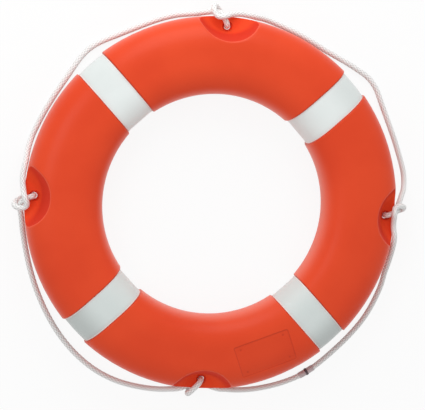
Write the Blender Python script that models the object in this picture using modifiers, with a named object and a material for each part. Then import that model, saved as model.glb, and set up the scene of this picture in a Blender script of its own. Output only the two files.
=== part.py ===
"""Life ring: a foam-filled moulded ring with reflective tape and a hitched grab line.

The ring lies flat on its back. +Z is up out of its front face, and the origin is
the middle of the ring on the surface that it lies on. Sizes are in metres.
"""

import math

import bmesh
import bpy
import numpy as np
from mathutils import Matrix, Vector

# Ring
OUTER_DIAMETER = 0.750
INNER_DIAMETER = 0.445
THICKNESS = 0.116
FACE_LAND = 0.016  # flat band on the crest of the front and the back
SECTION_POWER = 2.4  # squareness of the rounded section: 2 is an ellipse
WALL = 0.0026
RING_STEPS = 72
SECTION_QUARTER = 6  # flats on each rounded quarter of the section
INNER_STEPS = 40  # the same two for the hollow and the foam in it
INNER_QUARTER = 3

# Rope pockets, one pair at each quarter: a bowl in each face and a web between
POCKET_COUNT = 4
POCKET_REACH = 0.0505  # from the outer edge inwards, at the face
POCKET_WIDTH = 0.134  # along the outer edge
FLOOR_REACH = 0.0285
FLOOR_WIDTH = 0.066
WEB_THICKNESS = 0.008
LINE_HOLE_DIAMETER = 0.013
LINE_HOLE_FLARE = 0.0032  # round at both mouths of the hole
LINE_HOLE_INSET = 0.0185  # hole centre, from the outer edge inwards

# Reflective tape, sunk in a groove that runs round the section
TAPE_COUNT = 4
TAPE_WIDTH = 0.0615
TAPE_THICKNESS = 0.0007
GROOVE_DEPTH = 0.0045
GROOVE_SIDE_GAP = 0.0006

# Moulded panel on the front, bare, with a dimple in each corner
PANEL_ANGLE = 292.5
PANEL_LENGTH = 0.114
PANEL_HEIGHT = 0.065
PANEL_OFFSET = 0.0105  # outwards from the middle of the section
PANEL_DEPTH = 0.0012
DIMPLE_DIAMETER = 0.007
DIMPLE_DEPTH = 0.0006
DIMPLE_SPACING = (0.090, 0.048)

# Foam filling port in the back, and its plug
PORT_ANGLE = 67.5
PORT_BORE = 0.020
PORT_SEAT_DIAMETER = 0.030
PORT_SEAT_DEPTH = 0.0022
PORT_BOSS_DIAMETER = 0.044
PORT_BOSS_HEIGHT = 0.009
PLUG_FLANGE_SINK = 0.0005

# Grab line
LINE_DIAMETER = 0.011
SLEEVE_LENGTH = 0.034
SLEEVE_WALL = 0.0009
BAND_LENGTH = 0.005
BAND_WALL = 0.0007
LINE_TURN = 22  # most degrees that the line bends between two rings of its tube

FIT_GAP = 0.0003  # between pieces that touch
CUT_MARGIN = 0.012  # how far a cutter runs past what it cuts

OUTER_RADIUS = OUTER_DIAMETER / 2
INNER_RADIUS = INNER_DIAMETER / 2
MID_RADIUS = (OUTER_RADIUS + INNER_RADIUS) / 2
HALF_WIDTH = (OUTER_RADIUS - INNER_RADIUS) / 2
HALF_THICKNESS = THICKNESS / 2
LINE_RADIUS = LINE_DIAMETER / 2
LINE_REST = LINE_RADIUS + 0.0004  # height of the line's centre where it lies down
SLEEVE_RADIUS = LINE_RADIUS + FIT_GAP + SLEEVE_WALL
BAND_RADIUS = SLEEVE_RADIUS + FIT_GAP + BAND_WALL
JOINT_REST = BAND_RADIUS + 0.0002

# The hitch at each pocket, by the pocket's angle, as a route of the line's
# centre. Each point is in millimetres: along the ring's edge, outwards from the
# edge, up from the web's middle. The line comes in across the front of the edge,
# turns round the outside in a bight, goes under the web, up the hole, and leaves
# under itself, between the bight and the edge. The lowest hitch is tied the other
# way over.
HITCHES = {
    0: [
        (-59, 3.8, 5.5), (-48, 3.1, 10.4), (-38, 1.7, 12.4), (-28, -0.4, 10.8), (-18, -1.8, 11.4),
        (-9, -3, 14.6), (-0.5, -4.2, 20.2), (7, -5.2, 22.8), (13.6, -5.2, 20.6), (18.6, -2.6, 17.2),
        (21.6, 4, 15.6), (21.6, 11.6, 12.6), (18.8, 18.4, 6), (14.4, 19, -2.4), (10, 13, -10),
        (6.2, 4.6, -14), (3, -5.4, -14.4), (0.9, -13.4, -11.6), (0.1, -17.6, -6.4),
        (0, -18.5, -0.5), (0.2, -17.9, 5.4), (1.4, -14.6, 9.6), (4.4, -7.2, 10.1), (8, 0, 10),
        (12, 5.4, 7.6), (16.6, 6.9, 2.4), (22, 8.9, -2.4), (28.5, 12.2, -7), (36, 16, -12.5),
        (43.5, 19.8, -19), (51, 24.6, -27),
    ],
    90: [
        (-50, 5.4, -8.5), (-39, 6.4, -4), (-28, 7, 0.8), (-17.5, 6.4, 6), (-8, 4.6, 12),
        (0.6, 2.2, 18.6), (8, -0.6, 22.2), (15, -2.2, 21.2), (21.4, -1.4, 17.6), (26.4, 3.4, 16),
        (29.2, 10.6, 12.8), (29.4, 17.4, 6.4), (25.8, 19.8, -1.6), (19.4, 15.8, -8.8),
        (12, 7, -13.4), (5.8, -4.2, -14.6), (1.8, -12.8, -12), (0.2, -17.4, -6.8), (0, -18.5, -0.5),
        (0.3, -17.8, 5.6), (2, -14, 9.8), (6, -6.2, 10.1), (10.5, 0.8, 9.9), (15.2, 5.6, 7.2),
        (20.4, 7.2, 2.4), (26.5, 7.6, -3), (33.5, 7.4, -9), (41, 6.2, -15), (49.5, 4.6, -23),
    ],
    180: [
        (-60, 1.9, -2.5), (-49.5, 3.6, 1.6), (-40, 4.9, 5), (-31, 4.9, 7.8), (-22, 4, 9.6),
        (-12.5, 2.4, 12.6), (-3.5, 0.4, 18.4), (4.5, -2.4, 22.2), (11.8, -5, 21.2),
        (18.4, -6, 17.6), (23, -1.2, 15.4), (24.6, 7.2, 14.2), (22.8, 15.8, 9.4), (18.4, 18.6, 0),
        (13.4, 14.6, -8.6), (8.4, 5.2, -13.8), (3.8, -5.4, -14.4), (1, -13.4, -11.6),
        (0.1, -17.6, -6.4), (0, -18.5, -0.5), (0.2, -17.9, 5.4), (1.4, -14.6, 9.6), (4.8, -7, 10.1),
        (9, 0.2, 10), (13.6, 5, 7.6), (18.8, 6.6, 2.6), (25, 6.4, -2.4), (32.5, 5.8, -7),
        (41.5, 4.4, -11.5), (51, 2.8, -16),
    ],
    270: [
        (-48, 9.4, -18.5), (-38, 6, -14), (-30, 2, -11.6), (-22, -1.2, -10.4), (-14.5, -4, -10.2),
        (-8, -7.6, -10.4), (-3.2, -12.4, -10.8), (-0.8, -16.6, -8.4), (0, -18.4, -3.5),
        (0, -18.4, 2.5), (-1.4, -16.4, 9), (-5.2, -11.4, 13), (-11, -5, 13.6), (-16.8, 1.6, 12.6),
        (-21.4, 7.8, 9), (-24.2, 12.6, 2.6), (-24, 13.4, -6.4), (-21.4, 10.4, -15.2),
        (-16.6, 4, -21.4), (-10, -2.2, -23), (-2.6, -4.8, -21.8), (5, -4, -18.6),
        (12.5, -2.4, -14.8), (20, -0.8, -12), (28, 1.4, -10.8), (37, 3.8, -10.4), (46, 5.4, -12),
        (55, 6.6, -17.5),
    ],
}

# The open stretches between hitches, from the line's joint round to the joint
# again: degrees round the ring, distance from its axis in millimetres, and
# height in millimetres, with None where the line lies down.
SPAN_BEFORE_RIGHT = [
    (303.7, 417.4, "joint"),
    (305.9, 417.3, "joint"),
    (309.5, 416.6, None),
    (315, 415, None),
    (321, 415, None),
    (327, 414.8, None),
    (332.8, 412, None),
    (338, 407.9, 7.6),
    (341.2, 401.2, 16),
    (344.3, 395.2, 31),
    (347.8, 389.4, 47),
]
SPAN_RIGHT_TO_TOP = [
    (8.4, 407, 22.5),
    (10.4, 411.4, 12),
    (13, 412.4, 7.2),
    (17, 410, None),
    (22.5, 408, None),
    (28.6, 408.2, None),
    (33.6, 411.6, None),
    (37.6, 416.6, None),
    (41.4, 416.6, None),
    (45.4, 409, None),
    (50.5, 399.2, None),
    (56.5, 390.4, None),
    (63, 387.8, None),
    (69, 386.8, None),
    (73.6, 386.8, 7.4),
    (76.6, 386.8, 14),
    (79.2, 385.6, 27),
    (81.2, 383.6, 42),
]
SPAN_TOP_TO_LEFT = [
    (98.4, 382.2, 25),
    (100.8, 383.2, 13.5),
    (104, 384.4, 7.4),
    (108.5, 384.2, None),
    (113.5, 383.2, None),
    (119, 383.6, None),
    (124.2, 387.2, None),
    (128.6, 392.4, None),
    (132.4, 394.2, None),
    (136.4, 391.2, None),
    (141, 385.4, None),
    (147, 382, None),
    (154, 381.2, None),
    (160, 382.2, None),
    (163.2, 383.2, 8.6),
    (165.6, 383.2, 20),
    (167.8, 382.4, 34),
    (169.8, 381.4, 47),
]
SPAN_LEFT_TO_BOTTOM = [
    (189.6, 381.6, 35),
    (191.6, 382, 23.5),
    (194, 382.8, 13),
    (197.2, 384.2, 7.4),
    (201.6, 386.8, None),
    (207.6, 391.4, None),
    (214, 397.2, None),
    (220, 403.2, None),
    (226.5, 409.6, None),
    (233.5, 414.8, None),
    (240.5, 417.2, None),
    (247, 415, None),
    (252.8, 409.8, None),
    (257, 404.8, 8),
    (259.4, 399.2, 17),
    (261.2, 392.8, 29),
]
SPAN_AFTER_BOTTOM = [
    (279.7, 390.4, 31),
    (281.4, 396, 20),
    (283.3, 401.2, 10.5),
    (286, 405.4, 7.4),
    (290, 409.8, None),
    (294.4, 413.8, None),
    (298.4, 416.6, None),
    (301.5, 417.5, "joint"),
    (303.7, 417.4, "joint"),
]

COLOURS = {
    # linear red, green, blue, then roughness and metallic
    "orange_shell": ((0.78, 0.075, 0.028), 0.42, 0.0),
    "foam": ((0.72, 0.55, 0.28), 0.90, 0.0),
    "plug": ((0.62, 0.060, 0.024), 0.50, 0.0),
    "reflective": ((0.72, 0.76, 0.75), 0.35, 0.1),
    "line": ((0.80, 0.78, 0.76), 0.85, 0.0),
    "sleeve": ((0.30, 0.19, 0.20), 0.45, 0.0),
    "band": ((0.02, 0.02, 0.02), 0.60, 0.0),
}


def clear_scene():
    """Remove every object that the file opened with."""
    for old in list(bpy.data.objects):
        bpy.data.objects.remove(old, do_unlink=True)


def new_collection(name):
    """Add a collection to the scene."""
    made = bpy.data.collections.new(name)
    bpy.context.scene.collection.children.link(made)
    return made


def make_material(name):
    """A Principled material from the colour table."""
    colour, roughness, metallic = COLOURS[name]
    made = bpy.data.materials.new(name)
    made.use_nodes = True
    shader = made.node_tree.nodes["Principled BSDF"]
    shader.inputs["Base Color"].default_value = (*colour, 1.0)
    shader.inputs["Roughness"].default_value = roughness
    shader.inputs["Metallic"].default_value = metallic
    made.diffuse_color = (*colour, 1.0)
    return made


def add_mesh(name, mesh, collection):
    """Put a mesh into a collection as an object."""
    made = bpy.data.objects.new(name, mesh)
    collection.objects.link(made)
    return made


def from_bmesh(name, shape, collection):
    """Put a bmesh into a collection as an object, with its faces outwards."""
    bmesh.ops.recalc_face_normals(shape, faces=shape.faces)
    mesh = bpy.data.meshes.new(name)
    shape.to_mesh(mesh)
    shape.free()
    return add_mesh(name, mesh, collection)


def as_cutter(shape):
    """Mark an object as a cutter, which isn't part of the model."""
    shape.hide_render = True
    shape.display_type = "WIRE"
    return shape


def boolean(target, other, operation):
    """Cut, join or intersect one object with another, or with a collection."""
    step = target.modifiers.new(operation.title(), "BOOLEAN")
    step.solver = "EXACT"
    step.operation = operation
    if isinstance(other, bpy.types.Collection):
        step.operand_type = "COLLECTION"
        step.collection = other
    else:
        step.object = other


def round_the_ring(angle, radius, height=0.0):
    """The place at an angle round the ring, turned so that its +X points out."""
    turn = Matrix.Rotation(math.radians(angle), 4, "Z")
    return turn @ Matrix.Translation((radius, 0.0, height))


def section(inset, flats=SECTION_QUARTER):
    """The ring's section, drawn in by an inset, from the top down its outer side.

    Each quarter is a superellipse between the flat on the crest and the side.
    """
    across = HALF_WIDTH - FACE_LAND / 2 - inset
    along = HALF_THICKNESS - inset
    power = 2 / SECTION_POWER
    quarter = []
    for i in range(flats + 1):
        turn = math.pi / 2 * i / flats
        out = FACE_LAND / 2 + across * math.sin(turn) ** power
        quarter.append((out, along * abs(math.cos(turn)) ** power))
    right = quarter + [(x, -z) for x, z in reversed(quarter[:-1])]
    left = [(-x, z) for x, z in reversed(right)]
    return [(MID_RADIUS + x, HALF_THICKNESS + z) for x, z in right + left]


def turned(name, profile, collection, steps=RING_STEPS):
    """Turn a closed profile round the ring's axis."""
    mesh = bpy.data.meshes.new(name)
    count = len(profile)
    points = [(x, 0.0, z) for x, z in profile]
    mesh.from_pydata(points, [(i, (i + 1) % count) for i in range(count)], [])
    made = add_mesh(name, mesh, collection)
    screw = made.modifiers.new("Turn", "SCREW")
    screw.axis = "Z"
    screw.angle = math.tau
    screw.steps = screw.render_steps = steps
    screw.use_merge_vertices = True
    screw.merge_threshold = 0.00001
    screw.use_smooth_shade = True
    return made


def cylinder(name, place, diameter, low, high, collection, sides=24):
    """A cylinder along Z from one height to another, at a place."""
    shape = bmesh.new()
    bmesh.ops.create_cone(
        shape,
        cap_ends=True,
        segments=sides,
        radius1=diameter / 2,
        radius2=diameter / 2,
        depth=high - low,
        matrix=place @ Matrix.Translation((0, 0, (low + high) / 2)),
    )
    return from_bmesh(name, shape, collection)


def box(name, place, size, collection):
    """A box of a size, centred at a place."""
    shape = bmesh.new()
    bmesh.ops.create_cube(shape, size=1.0, matrix=place @ Matrix.Diagonal((*size, 1.0)))
    return from_bmesh(name, shape, collection)


def tape_angles():
    """The tapes sit midway between the pockets."""
    return [360 / TAPE_COUNT * (i + 0.5) for i in range(TAPE_COUNT)]


def pocket_angles():
    """The pockets, counted from +X."""
    return [360 / POCKET_COUNT * i for i in range(POCKET_COUNT)]


def tape_slabs(name, width):
    """A cutter collection: a slab across the ring at each tape."""
    group = new_collection(name)
    size = (2 * (HALF_WIDTH + CUT_MARGIN), width, THICKNESS + 2 * CUT_MARGIN)
    for i, angle in enumerate(tape_angles(), 1):
        place = round_the_ring(angle, MID_RADIUS, HALF_THICKNESS)
        as_cutter(box(f"{name}_{i}", place, size, group))
    return group


def pocket_outline(share, grow, steps):
    """A level of the pocket's bowl, as points outwards from the ring's edge and along it.

    The inner wall leans out steadily from the floor to the face, and the sides
    sweep out to their full width in the lower half. At each level the outline is
    the arc through its reach and its two ends at the ring's edge, and it then
    runs straight out past the edge.
    """
    reach = FLOOR_REACH + (POCKET_REACH - FLOOR_REACH) * share + grow
    sweep = math.sin(math.pi / 2 * min(2 * share, 1.0))
    side = FLOOR_WIDTH / 2 + (POCKET_WIDTH - FLOOR_WIDTH) / 2 * sweep + grow
    radius = (side**2 + reach**2) / (2 * reach)
    centre = radius - reach
    spread = math.asin(side / radius)
    arc = [spread * (2 * i / steps - 1) for i in range(steps + 1)]
    outline = [(centre - radius * math.cos(a), radius * math.sin(a)) for a in arc]
    return [(2 * CUT_MARGIN, -side), *outline, (2 * CUT_MARGIN, side)]


def pocket_bowl(name, angle, up, grow, collection):
    """A pocket's space above the web, or below it where up is -1, grown all round."""
    face = HALF_THICKNESS - WEB_THICKNESS / 2
    top = 1 + CUT_MARGIN / face
    shares, steps = [0.0, 0.09, 0.22, 0.36, 0.5, 0.75, top], 12
    if grow > 0:
        shares, steps = [0.0, 0.15, 0.5, top], 8
    base = WEB_THICKNESS / 2 - grow
    levels = [(base + face * s, pocket_outline(s, grow, steps)) for s in shares]
    if grow > 0:
        # a grown bowl runs through the web's middle, to meet the one below
        levels.insert(0, (-0.001, pocket_outline(0.0, grow, steps)))
    place = round_the_ring(angle, OUTER_RADIUS, HALF_THICKNESS)
    shape = bmesh.new()
    rings = [
        [shape.verts.new(place @ Vector((x, y, up * z))) for x, y in outline]
        for z, outline in levels
    ]
    for low, high in zip(rings, rings[1:]):
        for i in range(len(low)):
            j = (i + 1) % len(low)
            shape.faces.new((low[i], low[j], high[j]))
            shape.faces.new((low[i], high[j], high[i]))
    shape.faces.new(rings[0])
    shape.faces.new(rings[-1])
    return from_bmesh(name, shape, collection)


def pocket_bowls(name, grow=0.0):
    """A cutter collection: the bowls of every pocket, in both faces."""
    group = new_collection(name)
    for i, angle in enumerate(pocket_angles(), 1):
        for side, up in (("front", 1), ("back", -1)):
            as_cutter(pocket_bowl(f"{name}_{side}_{i}", angle, up, grow, group))
    return group


def grooved_ring(name, inset, slab_width, collection, steps, flats):
    """A solid ring drawn in by an inset, and by the groove's depth more at each tape."""
    ring = turned(name, section(inset, flats), collection, steps)
    deep = section(inset + GROOVE_DEPTH, flats)
    floor = as_cutter(turned(f"{name}_groove_floor", deep, cutters, steps))
    boolean(ring, tape_slabs(f"{name}_slab", slab_width), "DIFFERENCE")
    boolean(ring, floor, "UNION")
    return ring


def hollow(name, inset, collection):
    """What fills the shell: drawn in all round, and clear of the pockets and the port."""
    width = TAPE_WIDTH + 2 * (GROOVE_SIDE_GAP + inset)
    fill = grooved_ring(name, inset, width, collection, INNER_STEPS, INNER_QUARTER)
    boolean(fill, pocket_bowls(f"{name}_pocket", inset), "DIFFERENCE")
    place = round_the_ring(PORT_ANGLE, MID_RADIUS)
    reach = PORT_BOSS_HEIGHT + inset - WALL
    width = PORT_BOSS_DIAMETER + 2 * (inset - WALL)
    boss = cylinder(f"{name}_boss", place, width, -CUT_MARGIN, reach, cutters)
    boolean(fill, as_cutter(boss), "DIFFERENCE")
    return fill


def panel_place():
    """The middle of the moulded panel, at the height of the front face."""
    return round_the_ring(PANEL_ANGLE, MID_RADIUS + PANEL_OFFSET, THICKNESS)


def panel_cutter():
    """The panel's recess, whose floor keeps the ring's own curve."""
    size = (PANEL_HEIGHT, PANEL_LENGTH, 2 * CUT_MARGIN)
    recess = as_cutter(box("panel_recess", panel_place(), size, cutters))
    floor = as_cutter(turned("panel_floor", section(PANEL_DEPTH), cutters))
    boolean(recess, floor, "DIFFERENCE")
    return recess


def dimple_cutters():
    """A short cylinder into each corner of the panel's floor."""
    group = new_collection("dimple_cutters")
    floor = PANEL_DEPTH + DIMPLE_DEPTH
    for i, (along, out) in enumerate([(-1, -1), (1, -1), (1, 1), (-1, 1)], 1):
        x, y = out * DIMPLE_SPACING[1] / 2, along * DIMPLE_SPACING[0] / 2
        spot = panel_place() @ Vector((x, y, 0))
        drop = HALF_THICKNESS - section_height(spot.to_2d().length)
        place = Matrix.Translation((spot.x, spot.y, THICKNESS - drop))
        name = f"dimple_cutter_{i}"
        as_cutter(cylinder(name, place, DIMPLE_DIAMETER, -floor, CUT_MARGIN, group, 12))
    return group


def section_height(radius):
    """Height of the ring's face above its middle plane, at a distance from the axis."""
    across = HALF_WIDTH - FACE_LAND / 2
    out = max(0.0, abs(radius - MID_RADIUS) - FACE_LAND / 2) / across
    return HALF_THICKNESS * (1 - out**SECTION_POWER) ** (1 / SECTION_POWER)


def line_hole(name, place, collection, sides=18, steps=2):
    """A cutter for the line's hole: a bore that rounds out to a wider mouth at each face."""
    bore, face = LINE_HOLE_DIAMETER / 2, WEB_THICKNESS / 2
    room = FLOOR_REACH - LINE_HOLE_INSET - bore
    flare = min(LINE_HOLE_FLARE, 0.9 * face, 0.95 * room)
    turns = [math.pi / 2 * i / steps for i in range(steps + 1)]
    half = [(bore + flare * (1 - math.cos(t)), face - flare * (1 - math.sin(t))) for t in turns]
    half.append((bore + flare, face + CUT_MARGIN / 2))
    profile = [(x, -z) for x, z in reversed(half)] + half
    shape = bmesh.new()
    spokes = [math.tau * i / sides for i in range(sides)]
    rings = [
        [shape.verts.new(place @ Vector((x * math.cos(a), x * math.sin(a), z))) for a in spokes]
        for x, z in profile
    ]
    for low, high in zip(rings, rings[1:]):
        for i in range(sides):
            j = (i + 1) % sides
            shape.faces.new((low[i], low[j], high[j], high[i]))
    shape.faces.new(rings[0])
    shape.faces.new(rings[-1])
    return from_bmesh(name, shape, collection)


def make_shell():
    """The moulded ring: hollow, grooved for the tapes and pocketed for the line."""
    width = TAPE_WIDTH + 2 * GROOVE_SIDE_GAP
    shell = grooved_ring("shell", 0.0, width, parts, RING_STEPS, SECTION_QUARTER)
    boolean(shell, pocket_bowls("pocket"), "DIFFERENCE")
    holes = new_collection("line_holes")
    for i, angle in enumerate(pocket_angles(), 1):
        place = round_the_ring(angle, OUTER_RADIUS - LINE_HOLE_INSET, HALF_THICKNESS)
        as_cutter(line_hole(f"line_hole_{i}", place, holes))
    boolean(shell, holes, "DIFFERENCE")
    boolean(shell, panel_cutter(), "DIFFERENCE")
    boolean(shell, dimple_cutters(), "DIFFERENCE")
    boolean(shell, as_cutter(hollow("cavity", WALL, cutters)), "DIFFERENCE")
    place = round_the_ring(PORT_ANGLE, MID_RADIUS)
    top = PORT_BOSS_HEIGHT + CUT_MARGIN
    bore = cylinder("port_bore", place, PORT_BORE, -CUT_MARGIN, top, cutters)
    seat = cylinder("port_seat", place, PORT_SEAT_DIAMETER, -CUT_MARGIN, PORT_SEAT_DEPTH, cutters)
    boolean(shell, as_cutter(bore), "DIFFERENCE")
    boolean(shell, as_cutter(seat), "DIFFERENCE")
    return shell


def make_plug():
    """The port's plug: a flange in the seat and a stem in the bore."""
    flange = PORT_SEAT_DIAMETER / 2 - FIT_GAP
    stem = PORT_BORE / 2 - FIT_GAP
    low, seat = PLUG_FLANGE_SINK, PORT_SEAT_DEPTH - FIT_GAP
    top = PORT_BOSS_HEIGHT - FIT_GAP
    lead = 0.001
    profile = [(0, top), (stem - lead, top), (stem, top - lead), (stem, seat)]
    profile += [(flange, seat), (flange, low + lead / 2), (flange - lead / 2, low), (0, low)]
    mesh = bpy.data.meshes.new("port_plug")
    points = [(x, 0.0, z) for x, z in profile]
    mesh.from_pydata(points, [(i, i + 1) for i in range(len(points) - 1)], [])
    plug = add_mesh("port_plug", mesh, parts)
    screw = plug.modifiers.new("Turn", "SCREW")
    screw.axis = "Z"
    screw.steps = screw.render_steps = 24
    screw.use_merge_vertices = True
    screw.merge_threshold = 0.00001
    plug.matrix_world = round_the_ring(PORT_ANGLE, MID_RADIUS)
    return plug


def make_tapes():
    """Four tapes, each a closed strip round the section on its groove's floor."""
    tapes = []
    under = GROOVE_DEPTH - FIT_GAP
    size = (2 * (HALF_WIDTH + CUT_MARGIN), TAPE_WIDTH, THICKNESS + 2 * CUT_MARGIN)
    lining = as_cutter(turned("tape_inner_face", section(under), cutters))
    for i, angle in enumerate(tape_angles(), 1):
        tape = turned(f"reflective_tape_{i}", section(under - TAPE_THICKNESS), parts)
        place = round_the_ring(angle, MID_RADIUS, HALF_THICKNESS)
        boolean(tape, as_cutter(box(f"tape_cut_{i}", place, size, cutters)), "INTERSECT")
        boolean(tape, lining, "DIFFERENCE")
        tapes.append(tape)
    return tapes


def hitch(angle):
    """A pocket's hitch as points in space, in the order that the line runs."""
    place = round_the_ring(angle, OUTER_RADIUS, HALF_THICKNESS)
    return [place @ (Vector((out, along, up)) * 0.001) for along, out, up in HITCHES[angle]]


def span(points):
    """An open stretch as points in space."""
    rest = {None: LINE_REST, "joint": JOINT_REST}
    made = []
    for angle, radius, height in points:
        level = rest[height] if height in rest else height * 0.001
        made.append(round_the_ring(angle, radius * 0.001, level).translation)
    return made


def line_route():
    """The whole grab line, joint to joint."""
    stretches = [
        span(SPAN_BEFORE_RIGHT),
        hitch(0),
        span(SPAN_RIGHT_TO_TOP),
        hitch(90),
        span(SPAN_TOP_TO_LEFT),
        hitch(180),
        span(SPAN_LEFT_TO_BOTTOM),
        hitch(270),
        span(SPAN_AFTER_BOTTOM),
    ]
    return [point for points in stretches for point in points]


def smooth(route):
    """Points read from a centripetal Catmull-Rom curve, closest where it bends most."""
    points = [np.array(p) for p in route]
    ends = [2 * points[0] - points[1], *points, 2 * points[-1] - points[-2]]
    made = [points[0]]
    for k in range(len(points) - 1):
        four = ends[k : k + 4]
        knots = np.cumsum([0.0] + [np.linalg.norm(b - a) ** 0.5 for a, b in zip(four, four[1:])])
        turn = Vector(four[2] - four[0]).angle(Vector(four[3] - four[1]))
        count = max(1, math.ceil(math.degrees(turn) / LINE_TURN))
        for i in range(1, count + 1):
            t = knots[1] + (knots[2] - knots[1]) * i / count
            level = four
            for width in (1, 2, 3):
                level = [
                    (a * (knots[j + width] - t) + b * (t - knots[j])) / (knots[j + width] - knots[j])
                    for j, (a, b) in enumerate(zip(level, level[1:]))
                ]
            made.append(level[0])
    return np.array(made)


def least_gap(line, diameter):
    """The least clear space between a tube and itself, measured along its centre."""
    legs = np.linalg.norm(np.diff(line, axis=0), axis=1)
    along = np.concatenate([[0.0], np.cumsum(legs)])
    marks = np.arange(0.0, along[-1], 0.001)
    fine = np.stack([np.interp(marks, along, line[:, i]) for i in range(3)], axis=1)
    least = math.inf
    for i, mark in enumerate(marks):
        # points nearer along the line than a half turn of it are its own bend
        away = np.abs(marks - mark) > 2.6 * diameter
        away &= np.abs(marks - mark) < along[-1] - 2.6 * diameter
        least = min(least, np.linalg.norm(fine[away] - fine[i], axis=1).min())
    return least - diameter


def tube(name, points, radius, sides, collection):
    """A round tube along points, as a curve with filled ends."""
    curve = bpy.data.curves.new(name, "CURVE")
    curve.dimensions = "3D"
    curve.bevel_depth = radius
    curve.bevel_resolution = sides
    curve.use_fill_caps = True
    spline = curve.splines.new("POLY")
    spline.points.add(len(points) - 1)
    for node, point in zip(spline.points, points):
        node.co = (*point, 1.0)
    made = bpy.data.objects.new(name, curve)
    collection.objects.link(made)
    return made


def as_mesh(shape, collection):
    """Turn a curve object into a closed mesh object of the same name."""
    name = shape.name
    bpy.context.view_layer.update()
    seen = shape.evaluated_get(bpy.context.evaluated_depsgraph_get())
    mesh = bpy.data.meshes.new_from_object(seen)
    place = shape.matrix_world.copy()
    bpy.data.objects.remove(shape)
    welded = bmesh.new()
    welded.from_mesh(mesh)
    bmesh.ops.remove_doubles(welded, verts=welded.verts, dist=0.00001)
    welded.to_mesh(mesh)
    welded.free()
    made = add_mesh(name, mesh, collection)
    made.matrix_world = place
    return made


def piece_of_line(centre, length, steps=4):
    """Points on the line's curve near its joint, for what is threaded on it."""
    before, after = span(SPAN_AFTER_BOTTOM[-2:]), span(SPAN_BEFORE_RIGHT[:2])
    way = (after[1] - before[0]).normalized()
    turn = (after[1] - centre).normalized() - (centre - before[0]).normalized()
    bend = turn / (after[1] - before[0]).length
    made = []
    for i in range(steps + 1):
        along = length * (i / steps - 0.5)
        made.append(centre + way * along + bend * along**2)
    return made


def make_collar(name, length, inner, outer):
    """A short pipe threaded on the line over its joint."""
    centre = span(SPAN_BEFORE_RIGHT[:1])[0]
    pipe = as_mesh(tube(name, piece_of_line(centre, length), outer, 6, cutters), parts)
    core_points = piece_of_line(centre, length + 2 * CUT_MARGIN)
    core = as_mesh(tube(f"{name}_bore", core_points, inner, 6, cutters), cutters)
    boolean(pipe, as_cutter(core), "DIFFERENCE")
    return pipe


def finish(piece, material, smooth_angle=35):
    """Give a piece its material and its shading."""
    piece.data.materials.append(materials[material])
    if piece.type == "MESH":
        piece.data.shade_smooth()
        piece.data.set_sharp_from_angle(angle=math.radians(smooth_angle))


clear_scene()
parts = new_collection("life_ring")
cutters = new_collection("cutters")
materials = {name: make_material(name) for name in COLOURS}

finish(make_shell(), "orange_shell")
finish(hollow("foam_core", WALL + FIT_GAP, parts), "foam")
finish(make_plug(), "plug")
for strip in make_tapes():
    finish(strip, "reflective")

line_points = smooth(line_route())
finish(tube("grab_line", line_points, LINE_RADIUS, 2, parts), "line")
sleeve = make_collar("joint_sleeve", SLEEVE_LENGTH, LINE_RADIUS + FIT_GAP, SLEEVE_RADIUS)
finish(sleeve, "sleeve")
band = make_collar("joint_band", BAND_LENGTH, SLEEVE_RADIUS + FIT_GAP, BAND_RADIUS)
finish(band, "band")

line_length = float(np.linalg.norm(np.diff(line_points, axis=0), axis=1).sum())
print(f"grab line: {len(line_points)} points, {line_length:.3f} m long")
print(f"least gap of the grab line to itself: {least_gap(line_points, LINE_DIAMETER) * 1000:.2f} mm")
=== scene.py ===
"""Life ring: moulded shell, reflective bands and hitched grab line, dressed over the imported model.

The ring lies flat on its back with its axis along +Z. Sizes are in metres, and
the moulding's own sizes are the same as those of the solids that it stands for.
"""

import logging
import math
from dataclasses import dataclass, field
from enum import Enum
from typing import Any, Callable, Optional, Sequence, Union

import bpy
import numpy as np
from mathutils import Matrix, Vector
from numpy.typing import NDArray


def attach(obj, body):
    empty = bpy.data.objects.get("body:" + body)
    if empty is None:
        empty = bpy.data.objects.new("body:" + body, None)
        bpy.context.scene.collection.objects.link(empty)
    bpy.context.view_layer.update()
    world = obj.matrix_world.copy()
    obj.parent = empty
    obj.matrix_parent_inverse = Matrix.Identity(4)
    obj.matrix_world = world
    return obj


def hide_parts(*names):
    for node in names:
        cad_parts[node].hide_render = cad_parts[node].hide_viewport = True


Array = NDArray[np.float64]
Colour = tuple[float, float, float]
Point = tuple[float, float, float]
Value = Union["Wire", float, Sequence[float]]
Operator = Callable[["Wire", Value], "Wire"]
Profile = Sequence[tuple[float, float]]
RoutePoint = tuple[float, float, Union[float, "Rest"]]

log = logging.getLogger("life_ring")

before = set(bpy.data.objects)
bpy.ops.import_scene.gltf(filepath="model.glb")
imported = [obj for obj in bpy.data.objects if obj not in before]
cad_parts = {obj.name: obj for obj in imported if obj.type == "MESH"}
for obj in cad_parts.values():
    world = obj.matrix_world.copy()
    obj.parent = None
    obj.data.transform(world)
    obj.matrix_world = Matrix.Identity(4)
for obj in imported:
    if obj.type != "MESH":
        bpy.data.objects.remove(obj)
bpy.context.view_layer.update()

MM = 0.001
BODY = "root"
IMAGE_WIDTH = 425  # of the photo, in pixels
WHITE = (1.0, 1.0, 1.0)


class Rest(Enum):
    """What sets the line's height where its route gives none."""

    LYING = "on the floor"
    THREADED = "in the middle of the joint's sleeve"


# Shader tools


def both_ways(operation: str) -> tuple[Operator, Operator]:
    """An operator of Wire that adds a Math node, and its reflected form.

    Args:
        operation: the node's operation.

    Returns:
        The operator with the wire first, and the one with the other value first.
    """

    def plain(wire: "Wire", other: Value) -> "Wire":
        """Put the wire first."""
        return wire.math(operation, other)

    def reflected(wire: "Wire", other: Value) -> "Wire":
        """Put the other value first."""
        return wire.paint.node("ShaderNodeMath", {"operation": operation}, other, wire)

    return plain, reflected


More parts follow.
